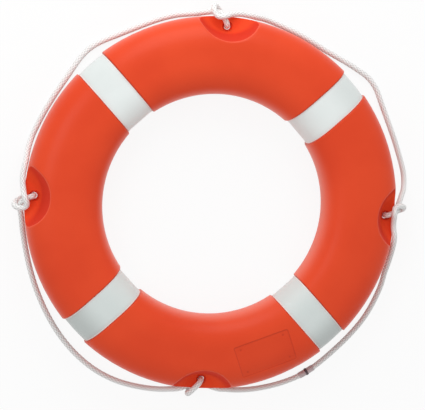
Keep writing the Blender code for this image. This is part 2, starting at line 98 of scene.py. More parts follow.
class Wire:
    """One socket of a node tree, on which arithmetic adds Math nodes."""

    __add__, __radd__ = both_ways("ADD")
    __sub__, __rsub__ = both_ways("SUBTRACT")
    __mul__, __rmul__ = both_ways("MULTIPLY")
    __truediv__, __rtruediv__ = both_ways("DIVIDE")
    __pow__, __rpow__ = both_ways("POWER")

    def __init__(self, paint: "Paint", socket: bpy.types.NodeSocket) -> None:
        """Wrap a socket.

        Args:
            paint: what the socket's node tree belongs to.
            socket: the output socket.
        """
        self.paint = paint
        self.socket = socket

    def math(self, operation: str, *others: Value) -> "Wire":
        """Add a Math node of an operation, with this value first."""
        return self.paint.node("ShaderNodeMath", {"operation": operation}, self, *others)

    def __abs__(self) -> "Wire":
        """Absolute value."""
        return self.math("ABSOLUTE")

    def output(self, name: str) -> "Wire":
        """Another output of the same node."""
        return Wire(self.paint, self.socket.node.outputs[name])

    def over(self, low: float, high: float) -> "Wire":
        """How far the value is from low to high, from 0 to 1, eased at both ends."""
        settings = {"interpolation_type": "SMOOTHSTEP"}
        return self.paint.node("ShaderNodeMapRange", settings, self, low, high)


class Paint:
    """The node tree of a material or a world, with one method that adds any node."""

    def __init__(self, owner: Union[bpy.types.Material, bpy.types.World]) -> None:
        """Start the node tree.

        Args:
            owner: a new material or world.
        """
        owner.use_nodes = True
        self.owner = owner
        self.tree = owner.node_tree

    def node(
        self, kind: str, settings: Optional[dict[str, Any]] = None, *values: Value, **named: Value
    ) -> Wire:
        """Add a node.

        Args:
            kind: the node's type.
            settings: its settings, which are set before its inputs.
            values: values or links for its inputs, in order.
            named: values or links for inputs by name, with _ for a space.

        Returns:
            The node's first output that is in use.
        """
        made = self.tree.nodes.new(kind)
        for key, setting in (settings or {}).items():
            setattr(made, key, setting)
        sockets = [s for s in made.inputs if s.enabled]
        for socket, value in zip(sockets, values):
            self.feed(socket, value)
        self.feed_named(sockets, named)
        return Wire(self, next(s for s in made.outputs if s.enabled))

    def feed_named(self, sockets: Sequence[bpy.types.NodeSocket], named: dict[str, Value]) -> None:
        """Feed sockets by name, with _ standing for a space."""
        for key, value in named.items():
            self.feed(next(s for s in sockets if s.name == key.replace("_", " ")), value)

    def feed(self, socket: bpy.types.NodeSocket, value: Value) -> None:
        """Link a wire to a socket, or set its value.

        Args:
            socket: the input socket.
            value: a wire, a number or a tuple of numbers.
        """
        if isinstance(value, Wire):
            self.tree.links.new(value.socket, socket)
        elif hasattr(value, "__len__") and socket.type == "RGBA" and len(value) == 3:
            socket.default_value = (*value, 1.0)
        else:
            socket.default_value = value

    def place(self, uv: bool = False) -> Wire:
        """Object coordinates, or the piece's own UV map."""
        return self.node("ShaderNodeTexCoord").output("UV" if uv else "Object")

    def attribute(self, name: str) -> Wire:
        """A number that the mesh carries at its vertices."""
        return self.node("ShaderNodeAttribute", {"attribute_name": name}).output("Fac")

    def split(self, at: Wire) -> tuple[Wire, Wire, Wire]:
        """The three parts of a vector."""
        made = self.node("ShaderNodeSeparateXYZ", None, at)
        return made, made.output("Y"), made.output("Z")

    def noise(self, at: Wire, scale: float, detail: float = 2.0, rough: float = 0.5) -> Wire:
        """Noise about 0.5, with scale features per metre and detail octaves of rough strength."""
        return self.node("ShaderNodeTexNoise", None, Vector=at, Scale=scale, Detail=detail, Roughness=rough)

    def blend(self, share: Value, first: Value, second: Value) -> Wire:
        """Mix two colours, with a share of the second."""
        return self.node("ShaderNodeMix", {"data_type": "RGBA"}, share, first, second)

    def bump(self, height: Wire, depth: float, strength: float, on: Optional[Wire] = None) -> Wire:
        """A Bump node's normal, for a height of 0 to 1 that stands for depth, on another bump."""
        under = {} if on is None else {"Normal": on}
        return self.node("ShaderNodeBump", None, Strength=strength, Distance=depth, Height=height, **under)

    def finish(self, **named: Value) -> bpy.types.Material:
        """Feed the Principled shader's sockets by name and give the material."""
        self.feed_named(self.tree.nodes["Principled BSDF"].inputs, named)
        return self.owner


# Sizes


@dataclass(frozen=True)
class RingForm:
    """The ring's main sizes and its section."""

    outer_radius: float = 0.375
    inner_radius: float = 0.2225
    half_thickness: float = 0.058
    land: float = 0.008  # half the flat band on each crest
    power: float = 2.4

    @property
    def middle(self) -> float:
        """Radius of the crest."""
        return (self.outer_radius + self.inner_radius) / 2

    @property
    def across(self) -> float:
        """Width of the rounded part, from the flat band to the side."""
        return (self.outer_radius - self.inner_radius) / 2 - self.land

    def height_at(self, out: Array) -> Array:
        """Height above the middle plane at a distance from the crest.

        The section is a superellipse: share across to the power plus share up to
        the power make one.
        """
        share = np.clip((np.abs(out) - self.land) / self.across, 0.0, 1.0)
        return self.half_thickness * (1.0 - share**self.power) ** (1 / self.power)

    def out_at(self, height: Array) -> Array:
        """Distance from the crest at a height above the middle plane."""
        share = np.clip(np.abs(height) / self.half_thickness, 0.0, 1.0)
        return self.land + self.across * (1.0 - share**self.power) ** (1 / self.power)

    def inset(self, out: Array, height: Array, depth: Array) -> tuple[Array, Array]:
        """Draw points of the section in by a depth.

        Args:
            out: signed distances from the crest.
            height: signed heights from the middle plane.
            depth: how far in, across and up.

        Returns:
            The new distances and heights.
        """
        flat = np.minimum(np.abs(out), self.land)
        share_out = (np.abs(out) - flat) / self.across
        new_out = np.sign(out) * (flat + (self.across - depth) * share_out)
        new_height = height / self.half_thickness * (self.half_thickness - depth)
        return new_out, new_height


RING = RingForm()


@dataclass(frozen=True)
class PanelForm:
    """The bare moulded panel on the front: its place, its size and its dimples."""

    angle: float = 292.5
    middle: float = 0.30925
    size: tuple[float, float] = (0.065, 0.114)
    corner: float = 0.003
    depth: float = 0.0013
    edge: float = 0.0007
    dimple_spacing: tuple[float, float] = (0.048, 0.090)
    dimple_radius: float = 0.0035
    dimple_depth: float = 0.0007


PANEL = PanelForm()
GROOVE_SIDE = 0.03135  # half the width of each tape's groove


# Finishes


@dataclass(frozen=True)
class SatinMoulding:
    """Rotationally moulded polyethylene: faint cloudiness, fine grain and light scuffs.

    The mesh's own attribute, pocket, is 0 outside the pockets, 1 on their walls
    and 2 on their floors. Light and shade are painted by place, after the photo:
    painted shade on the pockets' walls and in the dark creases, painted glow on
    the pockets' floors, and painted reflection in the pale band round the ring's
    mid-height and on the pockets' lips.
    """

    name: str = "orange_shell"
    colour: Colour = (0.80, 0.070, 0.0192)
    deep: Colour = (0.76, 0.061, 0.0160)
    scuffed: Colour = (0.86, 0.150, 0.075)
    # painted shade: the pockets' walls are darker
    wall: Colour = (0.70, 0.034, 0.0135)
    # painted light: the pockets' thin floors are paler, as if lit through
    floor: Colour = (0.95, 0.088, 0.0230)
    # painted shade in the creases of the panel, its dimples and the grooves
    crease_shade: Colour = (0.40, 0.022, 0.0100)
    painted_glow: Colour = (0.92, 0.200, 0.130)  # painted reflection: a pale glow round the ring's mid-height
    rim_glow: float = 0.80  # its share on the ring's inner side
    rim_glow_lost: float = 0.54  # what it loses towards the outer side
    wall_shade_share: float = 0.85
    floor_glow_share: float = 0.75
    painted_line_share: float = 0.36  # of the painted pale lips and of the painted dark creases
    scuff_share: float = 0.20
    roughness: float = 0.36
    specular: float = 0.18
    grain: float = 0.00006

    @staticmethod
    def groove_shade_lines(x: Wire, y: Wire) -> Wire:
        """Painted shade: one along the shoulders of the tapes' grooves, whose middle lines are the two
        diagonals.
        """
        across = abs(x - y).math("MINIMUM", abs(x + y)) * math.sqrt(0.5)
        return 1.0 - abs(across - GROOVE_SIDE - 0.0004).over(0.0003, 0.0015)

    @staticmethod
    def panel_shade_lines(x: Wire, y: Wire, z: Wire) -> Wire:
        """Painted shade: one along the panel's outline and in its dimples, and a little inside it.

        Args:
            x: place along X.
            y: place along Y.
            z: height.

        Returns:
            The mask, on the front only.
        """
        turn = math.radians(PANEL.angle)
        out = abs(x * math.cos(turn) + y * math.sin(turn) - PANEL.middle)
        along = abs(y * math.cos(turn) - x * math.sin(turn))
        past_out = out - (PANEL.size[0] / 2 - PANEL.corner)
        past_along = along - (PANEL.size[1] / 2 - PANEL.corner)
        beyond = past_out.math("MAXIMUM", 0.0) ** 2.0 + past_along.math("MAXIMUM", 0.0) ** 2.0
        distance = beyond**0.5 + past_out.math("MAXIMUM", past_along).math("MINIMUM", 0.0) - PANEL.corner
        outline = 1.0 - abs(distance).over(0.0002, 0.0017)
        inner = (1.0 - distance.over(-0.001, 0.001)) * 0.25
        from_out, from_along = out - PANEL.dimple_spacing[0] / 2, along - PANEL.dimple_spacing[1] / 2
        dimples = 1.0 - ((from_out**2.0 + from_along**2.0) ** 0.5).over(0.0014, PANEL.dimple_radius)
        return outline.math("MAXIMUM", dimples).math("MAXIMUM", inner) * z.over(0.07, 0.08)

    def material(self) -> bpy.types.Material:
        """Build the material.

        Returns:
            The material.
        """
        paint = Paint(bpy.data.materials.new(self.name))
        at = paint.place()
        cloud = paint.noise(at, 7.0, 3.0).over(0.36, 0.66)
        body = paint.blend(cloud, self.deep, self.colour)
        turned = {"Rotation": (0.3, 0.2, 0.7), "Scale": (9, 110, 30)}
        stretched = paint.node("ShaderNodeMapping", {"vector_type": "POINT"}, at, **turned)
        scratches = paint.noise(stretched, 4.0, 4.0, 0.62).over(0.66, 0.78)
        scuff = scratches * paint.noise(at, 11.0).over(0.50, 0.74)
        tone = paint.blend(scuff * self.scuff_share, body, self.scuffed)
        x, y, z = paint.split(at)
        rim = 1.0 - abs(z - RING.half_thickness).over(0.012, 0.046)
        outward = ((x * x + y * y) ** 0.5).over(0.25, 0.32)
        pocket = paint.attribute("pocket")
        inside = pocket.over(0.15, 0.9)
        # painted reflection: a pale glow at mid-height, strongest on the inner side and kept off the pockets
        rim_glow = rim * (1.0 - inside) * (self.rim_glow - outward * self.rim_glow_lost)
        tone = paint.blend(rim_glow, tone, self.painted_glow)
        # painted shade darkens the pockets' walls
        tone = paint.blend(inside * self.wall_shade_share, tone, self.wall)
        # painted glow lightens the pockets' floors
        tone = paint.blend(pocket.over(1.0, 2.0) * self.floor_glow_share, tone, self.floor)
        # painted highlight: a pale line along the pockets' rims
        lip = pocket.over(0.0, 0.10) * (1.0 - pocket.over(0.30, 0.75))
        tone = paint.blend(lip * self.painted_line_share, tone, self.painted_glow)
        # painted shade along the panel's outline, in its dimples, inside it and along the grooves' shoulders
        lines = self.panel_shade_lines(x, y, z).math("MAXIMUM", self.groove_shade_lines(x, y))
        tone = paint.blend(lines * self.painted_line_share, tone, self.crease_shade)
        dents = paint.bump(paint.noise(at, 46.0), 0.00030, 0.55)
        return paint.finish(
            Base_Color=tone,
            Roughness=self.roughness + (cloud - 0.5) * 0.05 + scuff * 0.12 + pocket.over(0.0, 0.4) * 0.45,
            Specular_IOR_Level=self.specular,
            Normal=paint.bump(paint.noise(at, 620.0, 2.0, 0.6), self.grain, 0.8, dents),
        )


@dataclass(frozen=True)
class ReflectiveSheeting:
    """Beaded retro-reflective cloth tape: pale grey-green, with a soft sheen.

    The UV map runs along the tape and across it in metres. Light and shade are
    painted into the tone by place, after the photo: palest on the far side, greyest
    near the viewer and darker at the outer end, since the beads' own return of light
    isn't modelled. The edges carry a painted pale highlight.
    """

    name: str = "reflective"
    colour: Colour = (0.815, 0.862, 0.848)
    shade: Colour = (0.690, 0.750, 0.733)
    # painted shade at the tape's outer end
    outer_shade: Colour = (0.520, 0.560, 0.545)
    # painted highlight along the tape's edges
    edge_highlight: Colour = (0.930, 0.900, 0.860)
    roughness: float = 0.40

    def material(self) -> bpy.types.Material:
        """Build the material.

        Returns:
            The material.
        """
        paint = Paint(bpy.data.materials.new(self.name))
        at = paint.place(uv=True)
        x, y, _ = paint.split(paint.place())
        far = y.over(-0.22, 0.22)
        outer = ((x * x + y * y) ** 0.5).over(0.300, 0.350)
        edge = abs(paint.split(at)[1]).over(0.0282, 0.0290)
        cloud = paint.noise(at, 26.0, 3.0).over(0.34, 0.68)
        cells = {"feature": "F1", "distance": "EUCLIDEAN"}
        beads = paint.node("ShaderNodeTexVoronoi", cells, Vector=at, Scale=900.0, Randomness=0.25)
        # painted light and shade: paler on the far side, greyer near the viewer, darker at the outer end
        tone = paint.blend(far * 0.92 + cloud * 0.08, self.shade, self.colour)
        tone = paint.blend(outer * (0.78 - far * 0.40), tone, self.outer_shade)
        # painted highlight: a pale line along the tape's edges
        tone = paint.blend(edge * 0.85, tone, self.edge_highlight)
        ripple = paint.bump(paint.noise(at, 60.0), 0.00022, 0.5)
        return paint.finish(
            Base_Color=tone,
            Roughness=self.roughness + (cloud - 0.5) * 0.06,
            Sheen_Weight=0.15,
            Normal=paint.bump(beads, 0.00010, 0.55, ripple),
        )


@dataclass(frozen=True)
class BraidedCord:
    """White braided rope. The UV map runs along the rope in metres, and once round it."""

    name: str = "line"
    colour: Colour = (0.97, 0.972, 0.962)
    # painted shade in the braid's grooves
    groove_shade: Colour = (0.50, 0.482, 0.475)
    soiled: Colour = (0.92, 0.905, 0.890)
    strands: int = 6
    pitch: float = 0.0092  # along the rope, from one strand to the next
    yarns: float = 4.0

    def material(self) -> bpy.types.Material:
        """Build the material: two crossing sets of strands, each parted into yarns.

        Returns:
            The material.
        """
        paint = Paint(bpy.data.materials.new(self.name))
        at = paint.place(uv=True)
        along, round_it, _ = paint.split(at)
        lift = along / self.pitch
        turn = round_it * float(self.strands)
        right, left = turn + lift, turn - lift
        # each set's own relief falls to its strands' edges, and they take turns on top
        first = abs(right.math("FRACT") - 0.5)
        second = abs(left.math("FRACT") - 0.5)
        swap = ((right * math.pi).math("SINE") * (left * math.pi).math("SINE")).over(-0.2, 0.2)
        edge = first * swap + second * (1.0 - swap)
        strand_edge = edge.over(0.20, 0.50)
        fibre = ((right - left * 0.12) * (self.yarns * math.tau)).math("SINE") * swap
        fibre = fibre + ((left - right * 0.12) * (self.yarns * math.tau)).math("SINE") * (1.0 - swap)
        dirt = paint.noise(paint.place(), 24.0, 3.0).over(0.42, 0.72)
        clean = paint.blend(dirt * 0.45, self.colour, self.soiled)
        # painted shade: the grooves between the strands are darker
        tone = paint.blend(strand_edge * 0.85, clean, self.groove_shade)
        relief = paint.bump(1.0 - strand_edge, 0.00022, 0.8)
        return paint.finish(
            Base_Color=tone,
            Roughness=0.82 - dirt * 0.05,
            Specular_IOR_Level=0.25,
            Sheen_Weight=0.25,
            Normal=paint.bump(fibre * 0.5 + 0.5, 0.00012, 0.6, relief),
        )


@dataclass(frozen=True)
class PlainFinish:
    """A finish of one colour with a slow variation and a fine relief."""

    name: str
    colour: Colour
    other: Colour
    roughness: float
    scale: float = 40.0
    relief: float = 0.0001
    relief_scale: float = 400.0
    coat: float = 0.0

    def material(self) -> bpy.types.Material:
        """Build the material.

        Returns:
            The material.
        """
        paint = Paint(bpy.data.materials.new(self.name))
        at = paint.place()
        cloud = paint.noise(at, self.scale, 3.0).over(0.35, 0.65)
        relief = paint.bump(paint.noise(at, self.relief_scale), self.relief, 0.7)
        return paint.finish(
            Base_Color=paint.blend(cloud, self.colour, self.other),
            Roughness=self.roughness + (cloud - 0.5) * 0.08,
            Coat_Weight=self.coat,
            Normal=relief,
        )


SHELL_FINISH = SatinMoulding()
TAPE_FINISH = ReflectiveSheeting()
LINE_FINISH = BraidedCord()
FOAM_FINISH = PlainFinish("foam", (0.72, 0.55, 0.28), (0.60, 0.44, 0.20), 0.9, 90.0, 0.0006, 300.0)
PLUG_FINISH = PlainFinish("plug", (0.66, 0.060, 0.020), (0.58, 0.048, 0.016), 0.45)
SLEEVE_FINISH = PlainFinish("sleeve", (0.60, 0.51, 0.52), (0.53, 0.43, 0.44), 0.38, 120.0, coat=0.2)
BAND_FINISH = PlainFinish("band", (0.080, 0.050, 0.062), (0.110, 0.075, 0.088), 0.55, 300.0)


# Shapes


def eased(value: Array, low: float, high: float) -> Array:
    """How far values are from low to high, from 0 to 1, by the cubic 3x^2 - 2x^3."""
    share = np.clip((value - low) / (high - low), 0.0, 1.0)
    return share * share * (3.0 - 2.0 * share)


def soft_least(first: Array, second: Array, blend: float) -> Array:
    """The lesser of two heights, rounded where they come within blend of each other.

    The rounding takes a quarter of (blend - gap)^2 / blend off the lesser one.

    Args:
        first: heights.
        second: heights.
        blend: the gap at which the rounding starts.

    Returns:
        The rounded least.
    """
    near = np.maximum(blend - np.abs(first - second), 0.0)
    return np.minimum(first, second) - near * near / (4.0 * blend)


def grid_faces(rows: int, columns: int, wrap_rows: bool, wrap_columns: bool) -> NDArray[np.int64]:
    """Corner numbers of a grid's quads, whose normals are row step cross column step.

    Args:
        rows: rows of vertices.
        columns: columns of vertices.
        wrap_rows: whether the last row joins the first.
        wrap_columns: whether the last column joins the first.

    Returns:
        One row of four corners for each quad.
    """
    i = np.arange(rows if wrap_rows else rows - 1)[:, None]
    j = np.arange(columns if wrap_columns else columns - 1)[None, :]
    down, across = (i + 1) % rows, (j + 1) % columns
    corners = [i * columns + j, down * columns + j, down * columns + across, i * columns + across]
    return np.stack([np.broadcast_to(c, (i.size, j.size)).ravel() for c in corners], axis=1)


def mesh_piece(
    name: str,
    points: Array,
    faces: Union[NDArray[np.int64], list],
    material: bpy.types.Material,
    uv: Optional[Array] = None,
    marks: Optional[dict[str, Array]] = None,
) -> bpy.types.Object:
    """Make a smooth mesh object at the origin.

    Args:
        name: the piece's name.
        points: its vertices.
        faces: its faces' corners.
        material: its finish.
        uv: a UV pair for each corner of each face, in order.
        marks: attributes by name, a number for each vertex.

    Returns:
        The object.
    """
    mesh = bpy.data.meshes.new(name)
    corners = faces.tolist() if isinstance(faces, np.ndarray) else faces
    mesh.from_pydata(points.reshape(-1, 3).tolist(), [], corners)
    if uv is not None:
        layer = mesh.uv_layers.new(name="UVMap")
        layer.data.foreach_set("uv", uv.astype(np.float32).ravel())
    for key, values in (marks or {}).items():
        made_mark = mesh.attributes.new(key, "FLOAT", "POINT")
        made_mark.data.foreach_set("value", values.astype(np.float32))
    mesh.materials.append(material)
    mesh.shade_smooth()
    mesh.validate()
    made = bpy.data.objects.new(name, mesh)
    bpy.context.scene.collection.objects.link(made)
    return made


def mark_sharp(piece: bpy.types.Object, angle: float) -> None:
    """Shade a piece with sharp edges over an angle in degrees."""
    piece.data.set_sharp_from_angle(angle=math.radians(angle))


def end_caps(rows: int, columns: int) -> list[list[int]]:
    """The polygons that close the first and the last ring of a tube, facing out of it."""
    return [list(range(columns))[::-1], list(range((rows - 1) * columns, rows * columns))]


TAPE_ANGLES = (45.0, 135.0, 225.0, 315.0)
POCKET_ANGLES = (0.0, 90.0, 180.0, 270.0)
PORT_ANGLE = 67.5
NEIGHBOURS = ((1, 0), (-1, 0), (1, 1), (-1, 1))  # step and axis in a grid
INNER_LEVELS = np.array([0, 4, 9, 14, 19, 24, 29, 33.5]) * MM  # heights of rows up the inner side
OUTER_LEVELS = np.array([31, 28, 24.5, 21, 17.5, 14, 11, 8.5, 6.5, 5, 4.1, 3.4, 2.5, 1.3, 0]) * MM


@dataclass(frozen=True)
class RopePocket:
    """A pocket in the ring's outer edge: a bowl in each face with a web between."""

    floor_reach: float = 0.0285
    rim_reach: float = 0.0505
    floor_side: float = 0.033
    rim_side: float = 0.067
    web: float = 0.004  # half the web's thickness
    hole_inset: float = 0.0185
    hole_radius: float = 0.0065
    lip: float = 0.0032  # round at both mouths of the hole
    rim_blend: float = 0.0030
    floor_blend: float = 0.0034
    least_side: float = 0.004  # of the arc below the web's face
    shares: tuple[float, float] = (-0.24, 1.6)  # of the rise, between which a wall is looked for
    halvings: int = 26

    @property
    def mouth(self) -> float:
        """Radius of the hole's mouth, with its round."""
        return self.hole_radius + self.lip

    @property
    def hole_at(self) -> float:
        """Radius of the hole's centre from the ring's axis."""
        return RING.outer_radius - self.hole_inset

    @property
    def rise(self) -> float:
        """Height of the wall, from the web's face to the crest."""
        return RING.half_thickness - self.web

    def depth_of(self, share: Array, along: Array) -> Array:
        """How far in from the ring's edge the wall stands.

        At a share of the rise the wall's plan is the arc through its reach and
        its two ends on the ring's edge. The reach grows evenly, and the sides
        sweep out by a sine in the lower half.

        Args:
            share: share of the rise.
            along: distance along the edge from the pocket's middle.

        Returns:
            Depths, far below zero beyond the arc's ends.
        """
        reach = self.floor_reach + (self.rim_reach - self.floor_reach) * share
        turn = np.pi / 2 * np.clip(2 * share, None, 1.0)
        sweep = np.where(turn > 0, np.sin(turn), turn)
        side = self.floor_side + (self.rim_side - self.floor_side) * sweep
        side = np.maximum(side, self.least_side)
        radius = (side**2 + reach**2) / (2 * reach)
        under = radius**2 - along**2
        return np.where(under > 0, reach - radius + np.sqrt(np.maximum(under, 0)), -1.0)

    def height_over_web(self, depth: Array, along: Array) -> Array:
        """Height of the bowl's surface above the middle plane.

        The share of the rise whose wall passes through each point is found by
        halving, and its height is rounded into the web's face.

        Args:
            depth: distance in from the ring's edge.
            along: distance along the edge from the pocket's middle.

        Returns:
            Heights.
        """
        low, high = (np.full(depth.shape, share) for share in self.shares)
        for _ in range(self.halvings):
            half = (low + high) / 2
            outside = self.depth_of(half, along) < depth
            low, high = np.where(outside, half, low), np.where(outside, high, half)
        wall = self.web + self.rise * (low + high) / 2
        return -soft_least(-wall, np.full(wall.shape, -self.web), self.floor_blend)


@dataclass
class MouldedShell:
    """The ring's shell as one grid of rows round the section and columns round the ring."""

    pocket: RopePocket = field(default_factory=RopePocket)
    groove_depth: float = 0.0045
    groove_round: float = 0.0024
    port_radius: float = 0.015
    port_depth: float = 0.0022
    straight_to: float = 9.2  # degrees from a tape up to which columns run straight across
    radial_from: float = 21.0  # and from which they point to the axis
    least_turn: float = 0.012  # degrees between columns
    hole_square: float = 0.0172  # half the square in which the grid is drawn to a hole
    bowl_box: tuple[float, float] = (0.085, 0.075)  # along the edge and in from it
    rim_rounds: int = 3
    rim_ease: float = 0.4  # how far each round moves a rim's points to their neighbours' mean
    rim_below: float = 0.0002  # how far below the plain section a point counts as a pocket's
    rim_depth: float = 0.06  # how far in from the edge rims are eased
    hole_clear: float = 0.013  # and how far from a hole's centre

    def seat_places(self) -> Array:
        """Grid lines across the port's seat.

        Returns:
            Distances from its middle.
        """
        port = self.port_radius
        half = np.array([port + 0.0006, port, port - 0.0003, 0.010, 0.005])
        return np.concatenate([-half, [0.0], half[::-1]])

    @staticmethod
    def face_rows(inner: Array, parts: list[Array], outer: Array) -> tuple[Array, Array]:
        """One face's rows, from its inner side across the crest to its outer side.

        Args:
            inner: heights of the rows on the inner side.
            parts: signed distances from the crest, over the top.
            outer: heights of the rows on the outer side.

        Returns:
            Signed distances from the crest, and heights.
        """
        out = np.concatenate([-RING.out_at(inner), *parts, RING.out_at(outer)])
        up = RING.height_at(out)
        up[: inner.size], up[-outer.size :] = inner, outer
        return out, up

    def rows(self) -> tuple[Array, Array, list[int]]:
        """The section's points in order: inner edge, front, outer edge, back.

        Returns:
            Signed distances from the crest, signed heights, and the first and last
            row of the rope hole on the front and then on the back.
        """
        low, high = self.hole_rows()
        hole = np.linspace(low, high, 19)
        crest = [np.linspace(-66, -26.6, 16) * MM, np.linspace(-25.4, -16.2, 10) * MM]
        crest += [np.linspace(-14, 0, 8) * MM, np.arange(2.0, 20, 2.0) * MM]
        crest += [np.arange(20, low / MM - 0.6, 1.15) * MM, hole]
        front_out, front_up = self.face_rows(INNER_LEVELS, crest, OUTER_LEVELS)
        crest = [np.array([-64, -58, -50, -42, -34, -26, -20]) * MM, self.seat_places()]
        crest += [np.arange(17.5, low / MM - 1, 2.1) * MM, hole]
        back_out, back_up = self.face_rows(INNER_LEVELS[1::2], crest, OUTER_LEVELS[:-1])
        out = np.concatenate([front_out, back_out[::-1]])
        up = np.concatenate([front_up, -back_up[::-1]])
        first, last = (int(np.argmin(np.abs(front_out - edge))) for edge in (low, high))
        back = (out.size - 1 - int(np.argmin(np.abs(back_out - edge))) for edge in (high, low))
        return out, up, [first, last, *back]

    def hole_rows(self) -> tuple[float, float]:
        """Distances from the crest of the rows on each side of the rope hole."""
        middle = self.pocket.hole_at - RING.middle
        return middle - self.pocket.mouth, middle + self.pocket.mouth

    def columns(self) -> Array:
        """Place the columns, close where the form turns.

        Returns:
            Their angles at the crest, in radians.
        """
        side = GROOVE_SIDE / MM
        edge = np.array([-0.5, -0.05, 0.0, 0.12, 0.4, 0.9, 1.6, 2.5, 4.0]) + side
        tape = np.concatenate([[0.0, 12.0, 24.0], edge]) * MM
        tape_turn = np.degrees(np.arcsin(tape / RING.middle))
        mouth = self.pocket.mouth
        near = [np.linspace(0, mouth, 7) / MM, np.arange(mouth / MM + 2.6, 40, 2.9)]
        near = np.concatenate([*near, np.arange(40.5, 70, 1.55), [72.0, 76.0, 82.0]])
        pocket_turn = 45.0 - np.degrees(near * MM / self.pocket.hole_at)
        plain = np.linspace(tape_turn[-1] + 1.6, pocket_turn[-1] - 1.6, 9)
        half = np.concatenate([tape_turn, plain, pocket_turn])
        every = [t + sign * half for t in TAPE_ANGLES for sign in (1, -1)]
        half_panel = np.degrees(PANEL.size[1] / 2 / PANEL.middle)
        ends = np.arange(-1.9, 2.0, 0.24)
        every += [PANEL.angle + half_panel + ends, PANEL.angle - half_panel + ends]
        every.append(PORT_ANGLE + np.degrees(self.seat_places() / RING.middle))
        angles = np.sort(np.mod(np.concatenate(every), 360.0))
        angles = angles[np.diff(angles, prepend=-1.0) > self.least_turn]
        if angles[0] + 360 - angles[-1] < self.least_turn:
            angles = angles[:-1]
        return np.radians(angles)

    def groove_inset(self, across: Array) -> Array:
        """Depth of the grooves: even inside, with a quarter round at the shoulder.

        Args:
            across: distances from a tape's centre line.

        Returns:
            How far the surface is drawn in.
        """
        past = np.abs(across) - GROOVE_SIDE
        rest = np.clip(self.groove_round - past, 0.0, self.groove_round)
        shoulder = self.groove_round - np.sqrt(self.groove_round**2 - rest**2)
        return np.where(past < -0.00002, self.groove_depth, shoulder)

    def build(self) -> bpy.types.Object:
        """Work out the grid, open the rope holes and make the piece.

        Returns:
            The shell.
        """
        out, up, hole_rows = self.rows()
        turn = self.columns()
        tapes = np.radians(TAPE_ANGLES)
        offset = turn[:, None] - tapes[None, :]
        offset = (offset + np.pi) % math.tau - np.pi
        nearest = np.argmin(np.abs(offset), axis=1)
        from_tape = offset[np.arange(turn.size), nearest]
        straight_to, radial_from = np.radians([self.straight_to, self.radial_from])
        parallel = 1.0 - eased(np.abs(from_tape), straight_to, radial_from)
        across = RING.middle * np.sin(from_tape)
        depth = np.where(np.abs(from_tape) < straight_to, self.groove_inset(across), 0.0)
        new_out, new_up = RING.inset(out[:, None], up[:, None], depth[None, :])
        radius = RING.middle + new_out
        # columns near a tape run straight across the ring, and the rest point to its axis
        straight = np.arcsin(across[None, :] / radius)
        angle = tapes[nearest][None, :] + from_tape + parallel * (straight - from_tape)
        radius, angle, height = self.pocketed(radius, angle, new_up)
        # the pocket attribute: 1 on the walls and 2 on the floors
        inside = eased(np.abs(new_up) - np.abs(height), 0.0, 0.0030)
        pocket = inside * (2.0 - eased(np.abs(height), self.pocket.web + 0.001, self.pocket.web + 0.022))
        x, y = radius * np.cos(angle), radius * np.sin(angle)
        height = self.dressed(x, y, height)
        points = np.stack([x, y, height + RING.half_thickness], axis=-1)
        self.soften(points, height)
        return self.assemble(points, turn, hole_rows, pocket)

    @staticmethod
    def from_pocket(angle: Array) -> tuple[Array, Array]:
        """Measure angles from the nearest pocket.

        Args:
            angle: angles round the ring.

        Returns:
            Angles from the pocket's middle, and the middle's own.
        """
        quarter = np.pi / 2
        centre = np.round(angle / quarter) * quarter
        return angle - centre, centre

    def pocketed(self, radius: Array, angle: Array, height: Array) -> tuple[Array, Array, Array]:
        """Sink the pockets and draw the grid to their round rope holes.

        Args:
            radius: distances from the axis.
            angle: angles round it.
            height: signed heights from the middle plane.

        Returns:
            The three, changed near the pockets.
        """
        pocket = self.pocket
        turn, centre = self.from_pocket(angle)
        a, b = turn * pocket.hole_at, radius - pocket.hole_at
        square = np.maximum(np.abs(a), np.abs(b))
        share = 1.0 - eased(square, pocket.mouth, self.hole_square)
        pull = 1.0 + share * (square / np.maximum(np.hypot(a, b), 1e-9) - 1.0)
        pull = np.where(square < self.hole_square, pull, 1.0)
        radius = pocket.hole_at + b * pull
        turn = a * pull / pocket.hole_at
        angle = centre + turn
        along, depth = radius * np.sin(turn), RING.outer_radius - radius * np.cos(turn)
        near = (np.abs(along) < self.bowl_box[0]) & (depth < self.bowl_box[1])
        bowl = np.full(radius.shape, 1.0)
        bowl[near] = pocket.height_over_web(depth[near], along[near])
        size = soft_least(np.abs(height), bowl, pocket.rim_blend)
        size = np.where(near & (np.abs(height) > 1e-6), np.maximum(size, 0.0), np.abs(height))
        return radius, angle, np.sign(height) * size

    def panel_distance(self, x: Array, y: Array) -> tuple[Array, Array, Array]:
        """Distance outside the panel's rounded outline, and places from its middle.

        Args:
            x: plan positions.
            y: plan positions.

        Returns:
            Distances, below zero inside, then places outwards and along.
        """
        turn = np.radians(PANEL.angle)
        out = x * np.cos(turn) + y * np.sin(turn) - PANEL.middle
        along = y * np.cos(turn) - x * np.sin(turn)
        past_out = np.abs(out) - PANEL.size[0] / 2 + PANEL.corner
        past_along = np.abs(along) - PANEL.size[1] / 2 + PANEL.corner
        corner = np.hypot(np.maximum(past_out, 0), np.maximum(past_along, 0))
        inside = np.minimum(np.maximum(past_out, past_along), 0)
        return corner + inside - PANEL.corner, out, along

